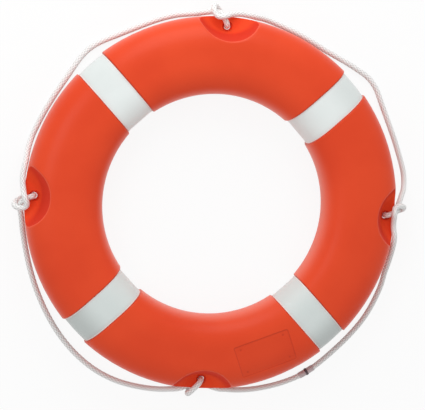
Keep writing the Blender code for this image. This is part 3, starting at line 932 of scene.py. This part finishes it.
    def dressed(self, x: Array, y: Array, height: Array) -> Array:
        """Sink the panel and its dimples into the front, and the plug's seat into the back.

        Args:
            x: plan positions.
            y: plan positions.
            height: signed heights from the middle plane.

        Returns:
            The new heights.
        """
        distance, out, along = self.panel_distance(x, y)
        panel = PANEL.depth * (1.0 - eased(distance, -PANEL.edge, PANEL.edge))
        half_out, half_along = PANEL.dimple_spacing[0] / 2, PANEL.dimple_spacing[1] / 2
        from_dimple = np.hypot(np.abs(out) - half_out, np.abs(along) - half_along)
        panel += PANEL.dimple_depth * (1.0 - eased(from_dimple, 0.001, PANEL.dimple_radius))
        turn = np.radians(PORT_ANGLE)
        away = np.hypot(x - RING.middle * np.cos(turn), y - RING.middle * np.sin(turn))
        seat = self.port_depth * (1.0 - eased(away, self.port_radius - 0.0002, self.port_radius + 0.0003))
        return height - np.where(height > 0.01, panel, 0.0) + np.where(height < -0.01, seat, 0.0)

    def soften(self, points: Array, height: Array) -> None:
        """Ease the pockets' rims: each point moves towards the mean of its four neighbours.

        Args:
            points: the grid's points, changed in place.
            height: signed heights from the middle plane.
        """
        radius = np.hypot(points[..., 0], points[..., 1])
        turn, _ = self.from_pocket(np.arctan2(points[..., 1], points[..., 0]))
        along, depth = radius * np.sin(turn), RING.outer_radius - radius * np.cos(turn)
        body = RING.height_at(radius - RING.middle)
        near = (np.abs(along) < self.bowl_box[0]) & (depth < self.rim_depth)
        cut = near & (np.abs(height) < body - self.rim_below)
        edge = np.any([np.roll(cut, step, axis) != cut for step, axis in NEIGHBOURS], axis=0).astype(float)
        edge *= np.hypot(along, depth - self.pocket.hole_inset) > self.hole_clear
        for _ in range(self.rim_rounds):
            mean = sum(np.roll(points, step, axis) for step, axis in NEIGHBOURS) / 4
            points += (edge * self.rim_ease)[..., None] * (mean - points)

    def assemble(
        self, points: Array, turn: Array, hole_rows: list[int], pocket: Array
    ) -> bpy.types.Object:
        """Join the grid into a mesh, with a rounded wall through each rope hole.

        Args:
            points: the grid's points.
            turn: the columns' angles at the crest.
            hole_rows: first and last row of the holes, front and back.
            pocket: the pocket attribute at each point.

        Returns:
            The shell.
        """
        rows, columns = points.shape[:2]
        number = np.arange(rows * columns).reshape(rows, columns)
        open_cells = np.zeros((rows, columns), bool)
        reach = self.pocket.mouth / self.pocket.hole_at
        flat = points.reshape(-1, 3)
        extra_points: list[Array] = []
        extra_faces: list[Array] = []
        count = rows * columns
        first, last, back_first, back_last = hole_rows
        for angle in np.radians(POCKET_ANGLES):
            start, stop = self.column_at(turn, angle - reach), self.column_at(turn, angle + reach)
            span = np.arange(start, start + (stop - start) % columns + 1) % columns
            open_cells[first:last, span[:-1]] = True
            open_cells[back_first:back_last, span[:-1]] = True
            loop_front = self.loop(number, first, last, span)
            loop_back = self.loop(number, back_last, back_first, span)
            lip = self.hole_wall(flat, loop_front, angle)
            rings, size = lip.shape[:2]
            ids = np.vstack([loop_front, count + np.arange(rings * size).reshape(rings, size), loop_back])
            extra_faces.append(ids.ravel()[grid_faces(rings + 2, size, False, True)])
            extra_points.append(lip.reshape(-1, 3))
            count += rings * size
        cells = grid_faces(rows, columns, True, True)[~open_cells.ravel()]
        faces = np.vstack([cells, *extra_faces])
        every = np.vstack([flat, *extra_points])
        marks = np.concatenate([pocket.ravel(), np.full(len(every) - pocket.size, 1.0)])
        return self.compact(every, faces, marks)

    @staticmethod
    def column_at(turn: Array, angle: float) -> int:
        """The column nearest to an angle."""
        return int(np.argmin(np.abs((turn - angle + np.pi) % math.tau - np.pi)))

    @staticmethod
    def loop(number: Array, near: int, far: int, span: Array) -> Array:
        """The vertices round a rectangle of the grid, from its inner edge, ccw in plan.

        Args:
            number: vertex numbers of the grid.
            near: the row nearest to the axis.
            far: the row furthest from it.
            span: the columns.

        Returns:
            Vertex numbers, once round.
        """
        step = 1 if far > near else -1
        way = np.arange(near, far, step)
        sides = [number[way, span[0]], number[far, span[:-1]]]
        sides += [number[way[::-1] + step, span[-1]], number[near, span[:0:-1]]]
        return np.concatenate(sides)

    def hole_wall(self, flat: Array, front: Array, angle: float) -> Array:
        """Rings of points down a rope hole, between its two rims.

        Each ring is the rim drawn in to the hole's own radius by a quarter round.

        Args:
            flat: all the grid's points.
            front: the front rim's vertices.
            angle: the pocket's angle, in radians.

        Returns:
            Rings by points by coordinates.
        """
        pocket = self.pocket
        centre = np.array([np.cos(angle), np.sin(angle)]) * pocket.hole_at
        away = flat[front][:, :2] - centre
        away /= np.linalg.norm(away, axis=1)[:, None]
        bend = np.radians([12.0, 26.0, 42.0, 58.0, 74.0, 90.0])
        radius = pocket.hole_radius + pocket.lip * (1.0 - np.sin(bend))
        drop = pocket.web - pocket.lip * (1.0 - np.cos(bend))
        radius = np.concatenate([radius, radius[::-1]])
        level = np.concatenate([drop, -drop[::-1]]) + RING.half_thickness
        plan = centre + away[None] * radius[:, None, None]
        heights = np.broadcast_to(level[:, None, None], plan.shape[:2] + (1,))
        return np.concatenate([plan, heights], axis=2)

    @staticmethod
    def compact(points: Array, faces: Array, pocket: Array) -> bpy.types.Object:
        """Drop the vertices that no face uses, and make the piece.

        Args:
            points: vertices.
            faces: their quads.
            pocket: the pocket attribute at each vertex.

        Returns:
            The shell.
        """
        used = np.zeros(len(points), bool)
        used[faces.ravel()] = True
        renumber = np.cumsum(used) - 1
        marks = {"pocket": pocket[used]}
        return mesh_piece("ring_shell", points[used], renumber[faces], SHELL_FINISH.material(), None, marks)


@dataclass
class ReflectiveBand:
    """One reflective tape round the ring, in its groove, lapped on the back."""

    number: int
    angle: float
    half_width: float = 0.03075
    outer_inset: float = 0.0034
    inner_inset: float = 0.0042
    edge: float = 0.0003
    lap: float = 0.028
    lap_rise: float = 0.0004

    def section_rows(self) -> tuple[Array, Array, Array]:
        """Points once round the section, closer at the lap's end.

        Returns:
            Signed distances from the crest, signed heights, and distance along.
        """
        bend = np.linspace(0, np.pi / 2, 40)
        quarter_out = RING.land + RING.across * np.sin(bend) ** (2 / RING.power)
        quarter_up = RING.half_thickness * np.abs(np.cos(bend)) ** (2 / RING.power)
        flat = np.array([0.004, 0.0002, -0.0002, -0.004])
        half_out = np.concatenate([quarter_out, quarter_out[-2::-1], flat])
        half_up = np.concatenate([quarter_up, -quarter_up[-2::-1], np.full(4, -RING.half_thickness)])
        out, up = np.concatenate([half_out, -half_out]), np.concatenate([half_up, -half_up])
        legs = np.hypot(np.diff(out, append=out[0]), np.diff(up, append=up[0]))
        return out, up, np.concatenate([[0.0], np.cumsum(legs)[:-1]])

    def build(self, finish: bpy.types.Material) -> bpy.types.Object:
        """Carry the tape's flat profile round the section.

        Args:
            finish: the tape's material.

        Returns:
            The band.
        """
        out, up, length = self.section_rows()
        wide, edge = self.half_width, self.edge
        low, high = self.outer_inset, self.inner_inset
        flat = [(place, low) for place in (2 * edge - wide, -0.02, -0.01, 0, 0.01, 0.02, wide - 2 * edge)]
        profile = [(edge - wide, low + edge / 3), *flat, (wide - edge, low + edge / 3)]
        profile += [(wide, low + edge), (wide, high - edge), (wide - edge, high)]
        profile += [(edge - wide, high), (-wide, high - edge), (-wide, low + edge)]
        across, inset = np.array(profile).T
        back = (up < 0) & (out > -0.0001)
        over = np.where(back, np.hypot(out, up + RING.half_thickness), 1.0)
        rise = self.lap_rise * (1.0 - eased(over, self.lap, self.lap + 0.006)) * back
        outer = (inset < (low + high) / 2).astype(float)
        depth = inset[None, :] - rise[:, None] * outer[None, :]
        new_out, new_up = RING.inset(out[:, None], up[:, None], depth)
        radius = RING.middle + new_out
        forward = np.sqrt(radius**2 - across[None, :] ** 2)
        turn = np.radians(self.angle)
        x = forward * np.cos(turn) - across * np.sin(turn)
        y = forward * np.sin(turn) + across * np.cos(turn)
        points = np.stack([x, y, new_up + RING.half_thickness], axis=-1)
        faces = grid_faces(*points.shape[:2], True, True)[:, ::-1]
        total = length[-1] + np.hypot(out[0] - out[-1], up[0] - up[-1])
        places = np.stack(np.broadcast_arrays(length[:, None], across[None, :]), axis=-1)
        uv = places.reshape(-1, 2)[faces]
        first_row = (faces < across.size).any(axis=1) & (faces >= across.size * (out.size - 1)).any(axis=1)
        seam = uv[first_row, :, 0]
        uv[first_row, :, 0] = seam + np.where(seam < total / 2, total, 0.0)
        made = mesh_piece(f"reflective_band_{self.number}", points, faces, finish, uv)
        mark_sharp(made, 40.0)
        return made


# The line's hitch at each pocket, by its angle. Points are in millimetres: along
# the ring's edge, out from it, and up from the web's middle
HITCHES = {
    0: (
        (-59, 3.8, 5.5), (-48, 3.1, 10.4), (-38, 1.7, 12.4), (-28, -0.4, 10.8), (-18, -1.8, 11.4),
        (-9, -3, 14.6), (-0.5, -4.2, 20.2), (7, -5.2, 22.8), (13.6, -5.2, 20.6), (18.6, -2.6, 17.2),
        (21.6, 4, 15.6), (21.6, 11.6, 12.6), (18.8, 18.4, 6), (14.4, 19, -2.4), (10, 13, -10),
        (6.2, 4.6, -14), (3, -5.4, -14.4), (0.9, -13.4, -11.6), (0.1, -17.6, -6.4), (0, -18.5, -0.5),
        (0.2, -17.9, 5.4), (1.4, -14.6, 9.6), (4.4, -7.2, 10.1), (8, 0, 10), (12, 5.4, 7.6),
        (16.6, 6.9, 2.4), (22, 8.9, -2.4), (28.5, 12.2, -7), (36, 16, -12.5), (43.5, 19.8, -19),
        (51, 24.6, -27),
    ),
    90: (
        (-50, 5.4, -8.5), (-39, 6.4, -4), (-28, 7, 0.8), (-17.5, 6.4, 6), (-8, 4.6, 12),
        (0.6, 2.2, 18.6), (8, -0.6, 22.2), (15, -2.2, 21.2), (21.4, -1.4, 17.6), (26.4, 3.4, 16),
        (29.2, 10.6, 12.8), (29.4, 17.4, 6.4), (25.8, 19.8, -1.6), (19.4, 15.8, -8.8), (12, 7, -13.4),
        (5.8, -4.2, -14.6), (1.8, -12.8, -12), (0.2, -17.4, -6.8), (0, -18.5, -0.5), (0.3, -17.8, 5.6),
        (2, -14, 9.8), (6, -6.2, 10.1), (10.5, 0.8, 9.9), (15.2, 5.6, 7.2), (20.4, 7.2, 2.4),
        (26.5, 7.6, -3), (33.5, 7.4, -9), (41, 6.2, -15), (49.5, 4.6, -23),
    ),
    180: (
        (-60, 1.9, -2.5), (-49.5, 3.6, 1.6), (-40, 4.9, 5), (-31, 4.9, 7.8), (-22, 4, 9.6),
        (-12.5, 2.4, 12.6), (-3.5, 0.4, 18.4), (4.5, -2.4, 22.2), (11.8, -5, 21.2), (18.4, -6, 17.6),
        (23, -1.2, 15.4), (24.6, 7.2, 14.2), (22.8, 15.8, 9.4), (18.4, 18.6, 0), (13.4, 14.6, -8.6),
        (8.4, 5.2, -13.8), (3.8, -5.4, -14.4), (1, -13.4, -11.6), (0.1, -17.6, -6.4), (0, -18.5, -0.5),
        (0.2, -17.9, 5.4), (1.4, -14.6, 9.6), (4.8, -7, 10.1), (9, 0.2, 10), (13.6, 5, 7.6),
        (18.8, 6.6, 2.6), (25, 6.4, -2.4), (32.5, 5.8, -7), (41.5, 4.4, -11.5), (51, 2.8, -16),
    ),
    270: (
        (-48, 9.4, -18.5), (-38, 6, -14), (-30, 2, -11.6), (-22, -1.2, -10.4), (-14.5, -4, -10.2),
        (-8, -7.6, -10.4), (-3.2, -12.4, -10.8), (-0.8, -16.6, -8.4), (0, -18.4, -3.5),
        (0, -18.4, 2.5), (-1.4, -16.4, 9), (-5.2, -11.4, 13), (-11, -5, 13.6), (-16.8, 1.6, 12.6),
        (-21.4, 7.8, 9), (-24.2, 12.6, 2.6), (-24, 13.4, -6.4), (-21.4, 10.4, -15.2),
        (-16.6, 4, -21.4), (-10, -2.2, -23), (-2.6, -4.8, -21.8), (5, -4, -18.6), (12.5, -2.4, -14.8),
        (20, -0.8, -12), (28, 1.4, -10.8), (37, 3.8, -10.4), (46, 5.4, -12), (55, 6.6, -17.5),
    ),
}
LYING, THREADED = Rest.LYING, Rest.THREADED
# Open stretches, before each hitch and after the last: degrees round the ring,
# millimetres from its axis, and height. The first starts at the joint of the line's
# ends, and the last comes back to it
STRETCHES = (
    (
        (303.7, 417.4, THREADED), (305.9, 417.3, THREADED), (309.5, 416.6, LYING), (315, 415, LYING),
        (321, 415, LYING), (327, 414.8, LYING), (332.8, 412, LYING), (338, 407.9, 7.6), (341.2, 401.2, 16),
        (344.3, 395.2, 31), (347.8, 389.4, 47),
    ),
    (
        (8.4, 407, 22.5), (10.4, 411.4, 12), (13, 412.4, 7.2), (17, 410, LYING), (22.5, 408, LYING),
        (28.6, 408.2, LYING), (33.6, 411.6, LYING), (37.6, 416.6, LYING), (41.4, 416.6, LYING),
        (45.4, 409, LYING), (50.5, 399.2, LYING), (56.5, 390.4, LYING), (63, 387.8, LYING),
        (69, 386.8, LYING), (73.6, 386.8, 7.4), (76.6, 386.8, 14), (79.2, 385.6, 27), (81.2, 383.6, 42),
    ),
    (
        (98.4, 382.2, 25), (100.8, 383.2, 13.5), (104, 384.4, 7.4), (108.5, 384.2, LYING),
        (113.5, 383.2, LYING), (119, 383.6, LYING), (124.2, 387.2, LYING), (128.6, 392.4, LYING),
        (132.4, 394.2, LYING), (136.4, 391.2, LYING), (141, 385.4, LYING), (147, 382, LYING),
        (154, 381.2, LYING), (160, 382.2, LYING), (163.2, 383.2, 8.6), (165.6, 383.2, 20),
        (167.8, 382.4, 34), (169.8, 381.4, 47),
    ),
    (
        (189.6, 381.6, 35), (191.6, 382, 23.5), (194, 382.8, 13), (197.2, 384.2, 7.4),
        (201.6, 386.8, LYING), (207.6, 391.4, LYING), (214, 397.2, LYING), (220, 403.2, LYING),
        (226.5, 409.6, LYING), (233.5, 414.8, LYING), (240.5, 417.2, LYING), (247, 415, LYING),
        (252.8, 409.8, LYING), (257, 404.8, 8), (259.4, 399.2, 17), (261.2, 392.8, 29),
    ),
    (
        (279.7, 390.4, 31), (281.4, 396, 20), (283.3, 401.2, 10.5), (286, 405.4, 7.4), (290, 409.8, LYING),
        (294.4, 413.8, LYING), (298.4, 416.6, LYING), (301.5, 417.5, THREADED), (303.7, 417.4, THREADED),
    ),
)


@dataclass
class GrabLine:
    """The braided line, joint to joint through all four hitches."""

    diameter: float = 0.011
    rest: float = 0.0059  # height of its centre where it lies down
    threaded: float = 0.0076
    step: float = 0.00128
    sides: int = 36
    relief: float = 0.00042
    leg_steps: int = 24  # points on each leg between two route points
    easing: int = 4
    length: float = 3.19
    path: Array = field(default_factory=lambda: np.zeros((0, 3)))

    def stretch(self, points: Sequence[RoutePoint]) -> Array:
        """Turn an open stretch into points in space.

        Args:
            points: its route.

        Returns:
            The points.
        """
        angle, radius = np.array([point[:2] for point in points]).T
        turn = np.radians(angle)
        known = {Rest.LYING: self.rest, Rest.THREADED: self.threaded}
        level = [known[up] if isinstance(up, Rest) else up * MM for _, _, up in points]
        return np.stack([radius * MM * np.cos(turn), radius * MM * np.sin(turn), level], axis=1)

    @staticmethod
    def hitch(angle: int) -> Array:
        """Turn a pocket's hitch into points in space.

        Args:
            angle: the pocket's angle.

        Returns:
            The points, in the order that the line runs.
        """
        along, out, up = np.array(HITCHES[angle], float).T * MM
        turn = np.radians(angle)
        radius = RING.outer_radius + out
        x = radius * np.cos(turn) - along * np.sin(turn)
        y = radius * np.sin(turn) + along * np.cos(turn)
        return np.stack([x, y, up + RING.half_thickness], axis=1)

    def route(self) -> Array:
        """Join the stretches and the hitches.

        Returns:
            The whole route's own points.
        """
        parts = [self.stretch(STRETCHES[0])]
        for angle, points in zip(HITCHES, STRETCHES[1:]):
            parts += [self.hitch(angle), self.stretch(points)]
        return np.vstack(parts)

    def centre_line(self) -> Array:
        """Even points on a centripetal Catmull-Rom curve through the route.

        Each leg is three rounds of straight blending between four route points,
        at knots spaced by the square root of the distances. A few rounds of moving
        each point halfway to its neighbours' mean ease the tightest bends.

        Returns:
            The points.
        """
        route = self.route()
        ends = np.vstack([2 * route[0] - route[1], route, 2 * route[-1] - route[-2]])
        gaps = np.sqrt(np.linalg.norm(np.diff(ends, axis=0), axis=1))
        knots = np.concatenate([[0.0], np.cumsum(gaps)])
        leg = np.repeat(np.arange(len(route) - 1), self.leg_steps)
        share = np.tile(np.arange(self.leg_steps) / self.leg_steps, len(route) - 1)
        time = knots[leg + 1] + (knots[leg + 2] - knots[leg + 1]) * share
        level = [ends[leg + k] for k in range(4)]
        for width in (1, 2, 3):
            start = [knots[leg + j] for j in range(4 - width)]
            stop = [knots[leg + j + width] for j in range(4 - width)]
            level = [
                (a * (q - time)[:, None] + b * (time - p)[:, None]) / (q - p)[:, None]
                for a, b, p, q in zip(level, level[1:], start, stop)
            ]
        curve = np.vstack([level[0], route[-1]])
        legs = np.linalg.norm(np.diff(curve, axis=0), axis=1)
        marks = np.concatenate([[0.0], np.cumsum(legs)])
        even = np.linspace(0.0, marks[-1], int(round(marks[-1] / self.step)) + 1)
        line = np.stack([np.interp(even, marks, curve[:, k]) for k in range(3)], axis=1)
        for _ in range(self.easing):
            line[1:-1] = line[1:-1] / 2 + (line[:-2] + line[2:]) / 4
        return line

    @staticmethod
    def carried_frames(path: Array) -> tuple[Array, Array]:
        """Two directions across the path at each point, carried along without twist.

        From point to point the first direction loses the part of it that lies along
        the new tangent.

        Args:
            path: points along the line.

        Returns:
            The two directions.
        """
        tangent = np.gradient(path, axis=0)
        tangent /= np.linalg.norm(tangent, axis=1)[:, None]
        side = np.cross(tangent[0], (0.0, 0.0, 1.0))
        sides = np.empty_like(path)
        for i, ahead in enumerate(tangent):
            side = side - ahead * (side @ ahead)
            side = side / np.linalg.norm(side)
            sides[i] = side
        return sides, np.cross(tangent, sides)

    def braid_relief(self, along: Array, turn: Array) -> Array:
        """Height of the braid, from 0 in its grooves to 1 on its strands.

        Two sets of strands wind opposite ways. Each stands highest at its own
        middle, and by the product of the two sets' sines they take turns on top.

        Args:
            along: distance along the line.
            turn: share of a turn round it.

        Returns:
            The height.
        """
        lift = along / LINE_FINISH.pitch
        right = turn * LINE_FINISH.strands + lift
        left = turn * LINE_FINISH.strands - lift
        swap = eased(np.sin(np.pi * right) * np.sin(np.pi * left), -0.5, 0.5)
        first = np.abs(np.sin(np.pi * right))
        second = np.abs(np.sin(np.pi * left))
        return first * swap + second * (1.0 - swap)

    def build(self) -> bpy.types.Object:
        """Carry the braided profile along the centre line and close its ends.

        Returns:
            The line.
        """
        self.path = self.centre_line()
        side, over = self.carried_frames(self.path)
        count = len(self.path)
        marks = np.linspace(0.0, 1.0, count) * self.measured()
        turn = np.arange(self.sides) / self.sides
        height = self.braid_relief(marks[:, None], turn[None, :])
        radius = self.diameter / 2 + self.relief * (height - 0.75)
        ring = np.cos(math.tau * turn)[None, :, None] * side[:, None, :]
        ring = ring + np.sin(math.tau * turn)[None, :, None] * over[:, None, :]
        points = self.path[:, None, :] + radius[..., None] * ring
        faces = grid_faces(count, self.sides, False, True)
        column = np.tile(np.arange(self.sides), count - 1)
        row = np.repeat(np.arange(count - 1), self.sides)
        v = np.stack([column, column, column + 1, column + 1], axis=1) / self.sides
        u = marks[np.stack([row, row + 1, row + 1, row], axis=1)]
        uv = np.stack([u, v], axis=-1).reshape(-1, 2)
        uv = np.vstack([uv, np.zeros((2 * self.sides, 2))])
        corners = faces.tolist() + end_caps(count, self.sides)
        made = mesh_piece("braided_line", points, corners, LINE_FINISH.material(), uv)
        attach(made, BODY)
        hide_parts("grab_line")
        return made

    def measured(self) -> float:
        """Length of the centre line."""
        return float(np.linalg.norm(np.diff(self.path, axis=0), axis=1).sum())


@dataclass
class LineJoint:
    """What covers the joint of the line's two ends: a shrunk sleeve and a black band."""

    line: GrabLine
    sleeve_length: float = 0.034
    sleeve_radius: float = 0.0067
    bore: float = 0.0058
    band_length: float = 0.005
    band_radius: float = 0.0077
    reach: int = 24  # points of the line on each side of the joint

    def collar(
        self, name: str, profile: Profile, finish: PlainFinish, node: str, waver: float
    ) -> bpy.types.Object:
        """Carry a closed profile round the line's centre at its joint.

        Args:
            name: the piece's name.
            profile: its places along the line, from the joint, and distances from the centre.
            finish: its finish.
            node: the solid that it stands for.
            waver: how unevenly its ends are trimmed.

        Returns:
            The piece.
        """
        path = self.line.path
        way = path[1] - path[-2]
        way /= np.linalg.norm(way)
        side = np.cross(way, (0.0, 0.0, 1.0))
        side /= np.linalg.norm(side)
        over = np.cross(side, way)
        near = np.vstack([path[-self.reach :], path[1 : self.reach]])
        marks = (near - path[0]) @ way
        turn = np.linspace(0, math.tau, 49)[:-1]
        shift = waver * (np.sin(3 * turn + 0.6) + 0.6 * np.sin(5 * turn))
        along, radius = np.array(profile).T
        place = along[:, None] + shift[None, :] * np.sign(along[:, None])
        centre = np.stack([np.interp(place, marks, near[:, k]) for k in range(3)], axis=-1)
        ring = np.cos(turn)[None, :, None] * side + np.sin(turn)[None, :, None] * over
        points = centre + radius[:, None, None] * ring
        faces = grid_faces(*points.shape[:2], True, True)[:, ::-1]
        made = mesh_piece(name, points, faces, finish.material())
        mark_sharp(made, 50.0)
        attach(made, BODY)
        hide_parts(node)
        return made

    def build(self) -> list[bpy.types.Object]:
        """Make the sleeve and the band.

        Returns:
            The two.
        """
        half, thick, bore = self.sleeve_length / 2, self.sleeve_radius, self.bore
        tube = [(-half, bore), (-half, thick - 0.0004), (0.0006 - half, thick - 0.0001)]
        tube += [(0.003 - half, thick), (-0.006, thick + 0.00005), (0, thick), (0.006, thick)]
        tube += [(half - 0.003, thick), (half - 0.0006, thick - 0.0001), (half, thick - 0.0004), (half, bore)]
        sleeve = self.collar("joint_sleeve_tube", tube, SLEEVE_FINISH, "joint_sleeve", 0.0004)
        half, wide = self.band_length / 2, self.band_radius
        tape = [(-half, thick), (-half, wide - 0.0003), (0.0003 - half, wide - 0.0001)]
        tape += [(-0.0009, wide - 0.0001), (-0.0008, wide), (0.0012, wide)]
        tape += [(half - 0.0004, wide), (half, wide - 0.0003), (half, thick)]
        band = self.collar("joint_band_tape", tape, BAND_FINISH, "joint_band", 0.00015)
        return [sleeve, band]


@dataclass
class FillingPort:
    """The plug in the back's filling port: a flange with a coin slot, and its stem."""

    flange: float = 0.0147
    stem: float = 0.0097
    low: float = 0.0005
    seat: float = 0.0019
    top: float = 0.0087
    slot_half_width: float = 0.0013
    slot_reach: float = 0.0085
    slot_depth: float = 0.0009
    round_edge: float = 0.0009
    chamfer: float = 0.001
    centre_hole: float = 0.00005  # which the caps close

    def build(self) -> bpy.types.Object:
        """Turn the plug's profile and press the slot into its face.

        Returns:
            The plug.
        """
        low, seat, top, stem, rim = self.low, self.seat, self.top, self.stem, self.round_edge
        face = np.linspace(self.centre_hole, self.flange - rim, 36)
        bend = np.radians(np.linspace(0, 90, 6))
        edge, edge_up = self.flange - rim + rim * np.sin(bend), low + rim * (1 - np.cos(bend))
        back = [(self.flange, seat), (stem + 0.0004, seat), (stem, seat + 0.0004)]
        back += [(stem, top - self.chamfer), (stem - self.chamfer, top), (self.centre_hole, top)]
        back_radius, back_height = np.array(back).T
        radius = np.concatenate([face, edge, back_radius])
        height = np.concatenate([np.full(face.size, low), edge_up, back_height])
        turn = np.linspace(0, math.tau, 97)[:-1]
        x, y = radius[:, None] * np.cos(turn), radius[:, None] * np.sin(turn)
        away = np.maximum(np.abs(y) - self.slot_half_width, np.abs(x) - self.slot_reach)
        on_face = (np.arange(radius.size) < face.size)[:, None]
        z = height[:, None] + on_face * self.slot_depth * (1 - eased(away, -0.0002, 0.0004))
        centre = np.radians(PORT_ANGLE)
        middle = np.array([RING.middle * np.cos(centre), RING.middle * np.sin(centre), 0.0])
        points = np.stack([x, y, np.broadcast_to(z, x.shape)], axis=-1) + middle
        faces = grid_faces(radius.size, turn.size, False, True)
        corners = [corner[::-1] for corner in faces.tolist() + end_caps(radius.size, turn.size)]
        made = mesh_piece("filling_plug", points, corners, PLUG_FINISH.material())
        mark_sharp(made, 50.0)
        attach(made, BODY)
        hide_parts("port_plug")
        return made


@dataclass
class Studio:
    """The pale floor, the soft light and the camera."""

    camera_at: Point = (-0.3695, 0.2646, 2.3636)
    camera_right: Point = (0.98599, 0.07396, 0.14951)
    camera_up: Point = (-0.0557, 0.9909, -0.1226)
    lens: float = 99.3
    offset_px: tuple[float, float] = (1.03, 0.35)  # ring's centre, right and down of the frame's
    floor_radius: float = 6.0
    floor_colour: Colour = (0.94, 0.94, 0.94)
    world_strength: float = 0.62
    plain_share: float = 0.89  # how much of the floor is seen as plain white
    lamps_aim: Point = (0.0, 0.0, 0.05)
    sensor_width: float = 36.0
    floor_sides: int = 64

    def camera(self) -> None:
        """Set the camera at the photograph's viewing angle."""
        data = bpy.data.cameras.new("view")
        data.lens = self.lens
        data.sensor_width = self.sensor_width
        data.sensor_fit = "HORIZONTAL"
        data.shift_x = -self.offset_px[0] / IMAGE_WIDTH
        data.shift_y = self.offset_px[1] / IMAGE_WIDTH
        data.clip_end = 60.0
        right = Vector(self.camera_right).normalized()
        up = Vector(self.camera_up)
        up = (up - right * up.dot(right)).normalized()
        turn = Matrix((right, up, right.cross(up))).transposed()
        made = bpy.data.objects.new("view", data)
        made.matrix_world = Matrix.Translation(self.camera_at) @ turn.to_4x4()
        bpy.context.scene.collection.objects.link(made)
        bpy.context.scene.camera = made

    def lamp(self, name: str, at: Point, size: float, power: float) -> None:
        """Add a square soft light that faces the ring.

        Args:
            name: its name.
            at: where it hangs.
            size: its side.
            power: its power in watts.
        """
        data = bpy.data.lights.new(name, "AREA")
        data.size = size
        data.energy = power
        made = bpy.data.objects.new(name, data)
        made.location = at
        way = Vector(self.lamps_aim) - Vector(at)
        made.rotation_euler = way.to_track_quat("-Z", "Y").to_euler()
        bpy.context.scene.collection.objects.link(made)

    def lights(self) -> None:
        """Hang the lamps: a broad low key close beyond the top, and a weak fill on the left."""
        self.lamp("key", at=(-0.2, 1.45, 1.0), size=1.2, power=12.5)
        self.lamp("fill", at=(-1.3, 0.4, 1.9), size=0.9, power=6.0)

    @staticmethod
    def mix(paint: Paint, share: float, first: str, second: Wire, last: str) -> None:
        """Show a second shader to the camera's rays and to those that gloss and clear things send.

        Args:
            paint: the tree that it is in.
            share: how much of the second those rays see.
            first: the tree's own shader, which all other rays see.
            second: the other shader.
            last: the tree's own output node.
        """
        rays = paint.node("ShaderNodeLightPath")
        seen = rays.math("MAXIMUM", rays.output("Is Glossy Ray"))
        seen = seen.math("MAXIMUM", rays.output("Is Transmission Ray")) * share
        own = Wire(paint, paint.tree.nodes[first].outputs[0])
        mixed = paint.node("ShaderNodeMixShader", None, seen, own, second)
        paint.feed(paint.tree.nodes[last].inputs["Surface"], mixed)

    def world(self) -> None:
        """Light softly from all round, and look white from the camera and in gloss."""
        paint = Paint(bpy.data.worlds.new("studio"))
        bpy.context.scene.world = paint.owner
        soft = {"Color": WHITE, "Strength": self.world_strength}
        paint.feed_named(paint.tree.nodes["Background"].inputs, soft)
        white = paint.node("ShaderNodeBackground", None, WHITE)
        self.mix(paint, 1.0, "Background", white, "World Output")

    def floor(self) -> None:
        """Lay a round pale floor, which looks white but keeps the ring's shadow."""
        turn = np.linspace(0, math.tau, self.floor_sides + 1)[:-1]
        rim = np.stack([np.cos(turn), np.sin(turn), 0 * turn], axis=1) * self.floor_radius
        paint = Paint(bpy.data.materials.new("pale_floor"))
        paint.finish(Base_Color=self.floor_colour, Roughness=0.9, Specular_IOR_Level=0.0)
        glow = paint.node("ShaderNodeEmission", None, WHITE, 1.0)
        self.mix(paint, self.plain_share, "Principled BSDF", glow, "Material Output")
        mesh_piece("floor", rim, [list(range(self.floor_sides))], paint.owner)

    def settings(self) -> None:
        """Set the plain view transform."""
        bpy.context.scene.view_settings.view_transform = "Standard"


def report(piece: bpy.types.Object) -> None:
    """Log a piece's name and how many faces it has."""
    log.info("%s: %d faces", piece.name, len(piece.data.polygons))


def dress_core() -> None:
    """Give the foam core, which stays a CAD node, its finish."""
    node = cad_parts["foam_core"]
    node.data.materials.clear()
    node.data.materials.append(FOAM_FINISH.material())
    log.info("foam_core dressed")


def main() -> None:
    """Build the camera and the line first, then the ring, and light it."""
    logging.basicConfig(level=logging.INFO, format="%(name)s: %(message)s")
    studio = Studio()
    studio.settings()
    studio.camera()
    line = GrabLine()
    line_piece = line.build()
    log.info("grab line: %.3f m, %d points", line.measured(), len(line.path))
    report(line_piece)
    on_it = LineJoint(line).build()
    for piece in on_it:
        report(piece)
    shell = MouldedShell().build()
    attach(shell, BODY)
    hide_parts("shell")
    report(shell)
    sheeting = TAPE_FINISH.material()
    for number, angle in enumerate(TAPE_ANGLES, 1):
        band = ReflectiveBand(number, angle).build(sheeting)
        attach(band, BODY)
        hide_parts(f"reflective_tape_{number}")
        report(band)
    report(FillingPort().build())
    dress_core()
    studio.lights()
    studio.world()
    studio.floor()


if __name__ == "__main__":
    main()
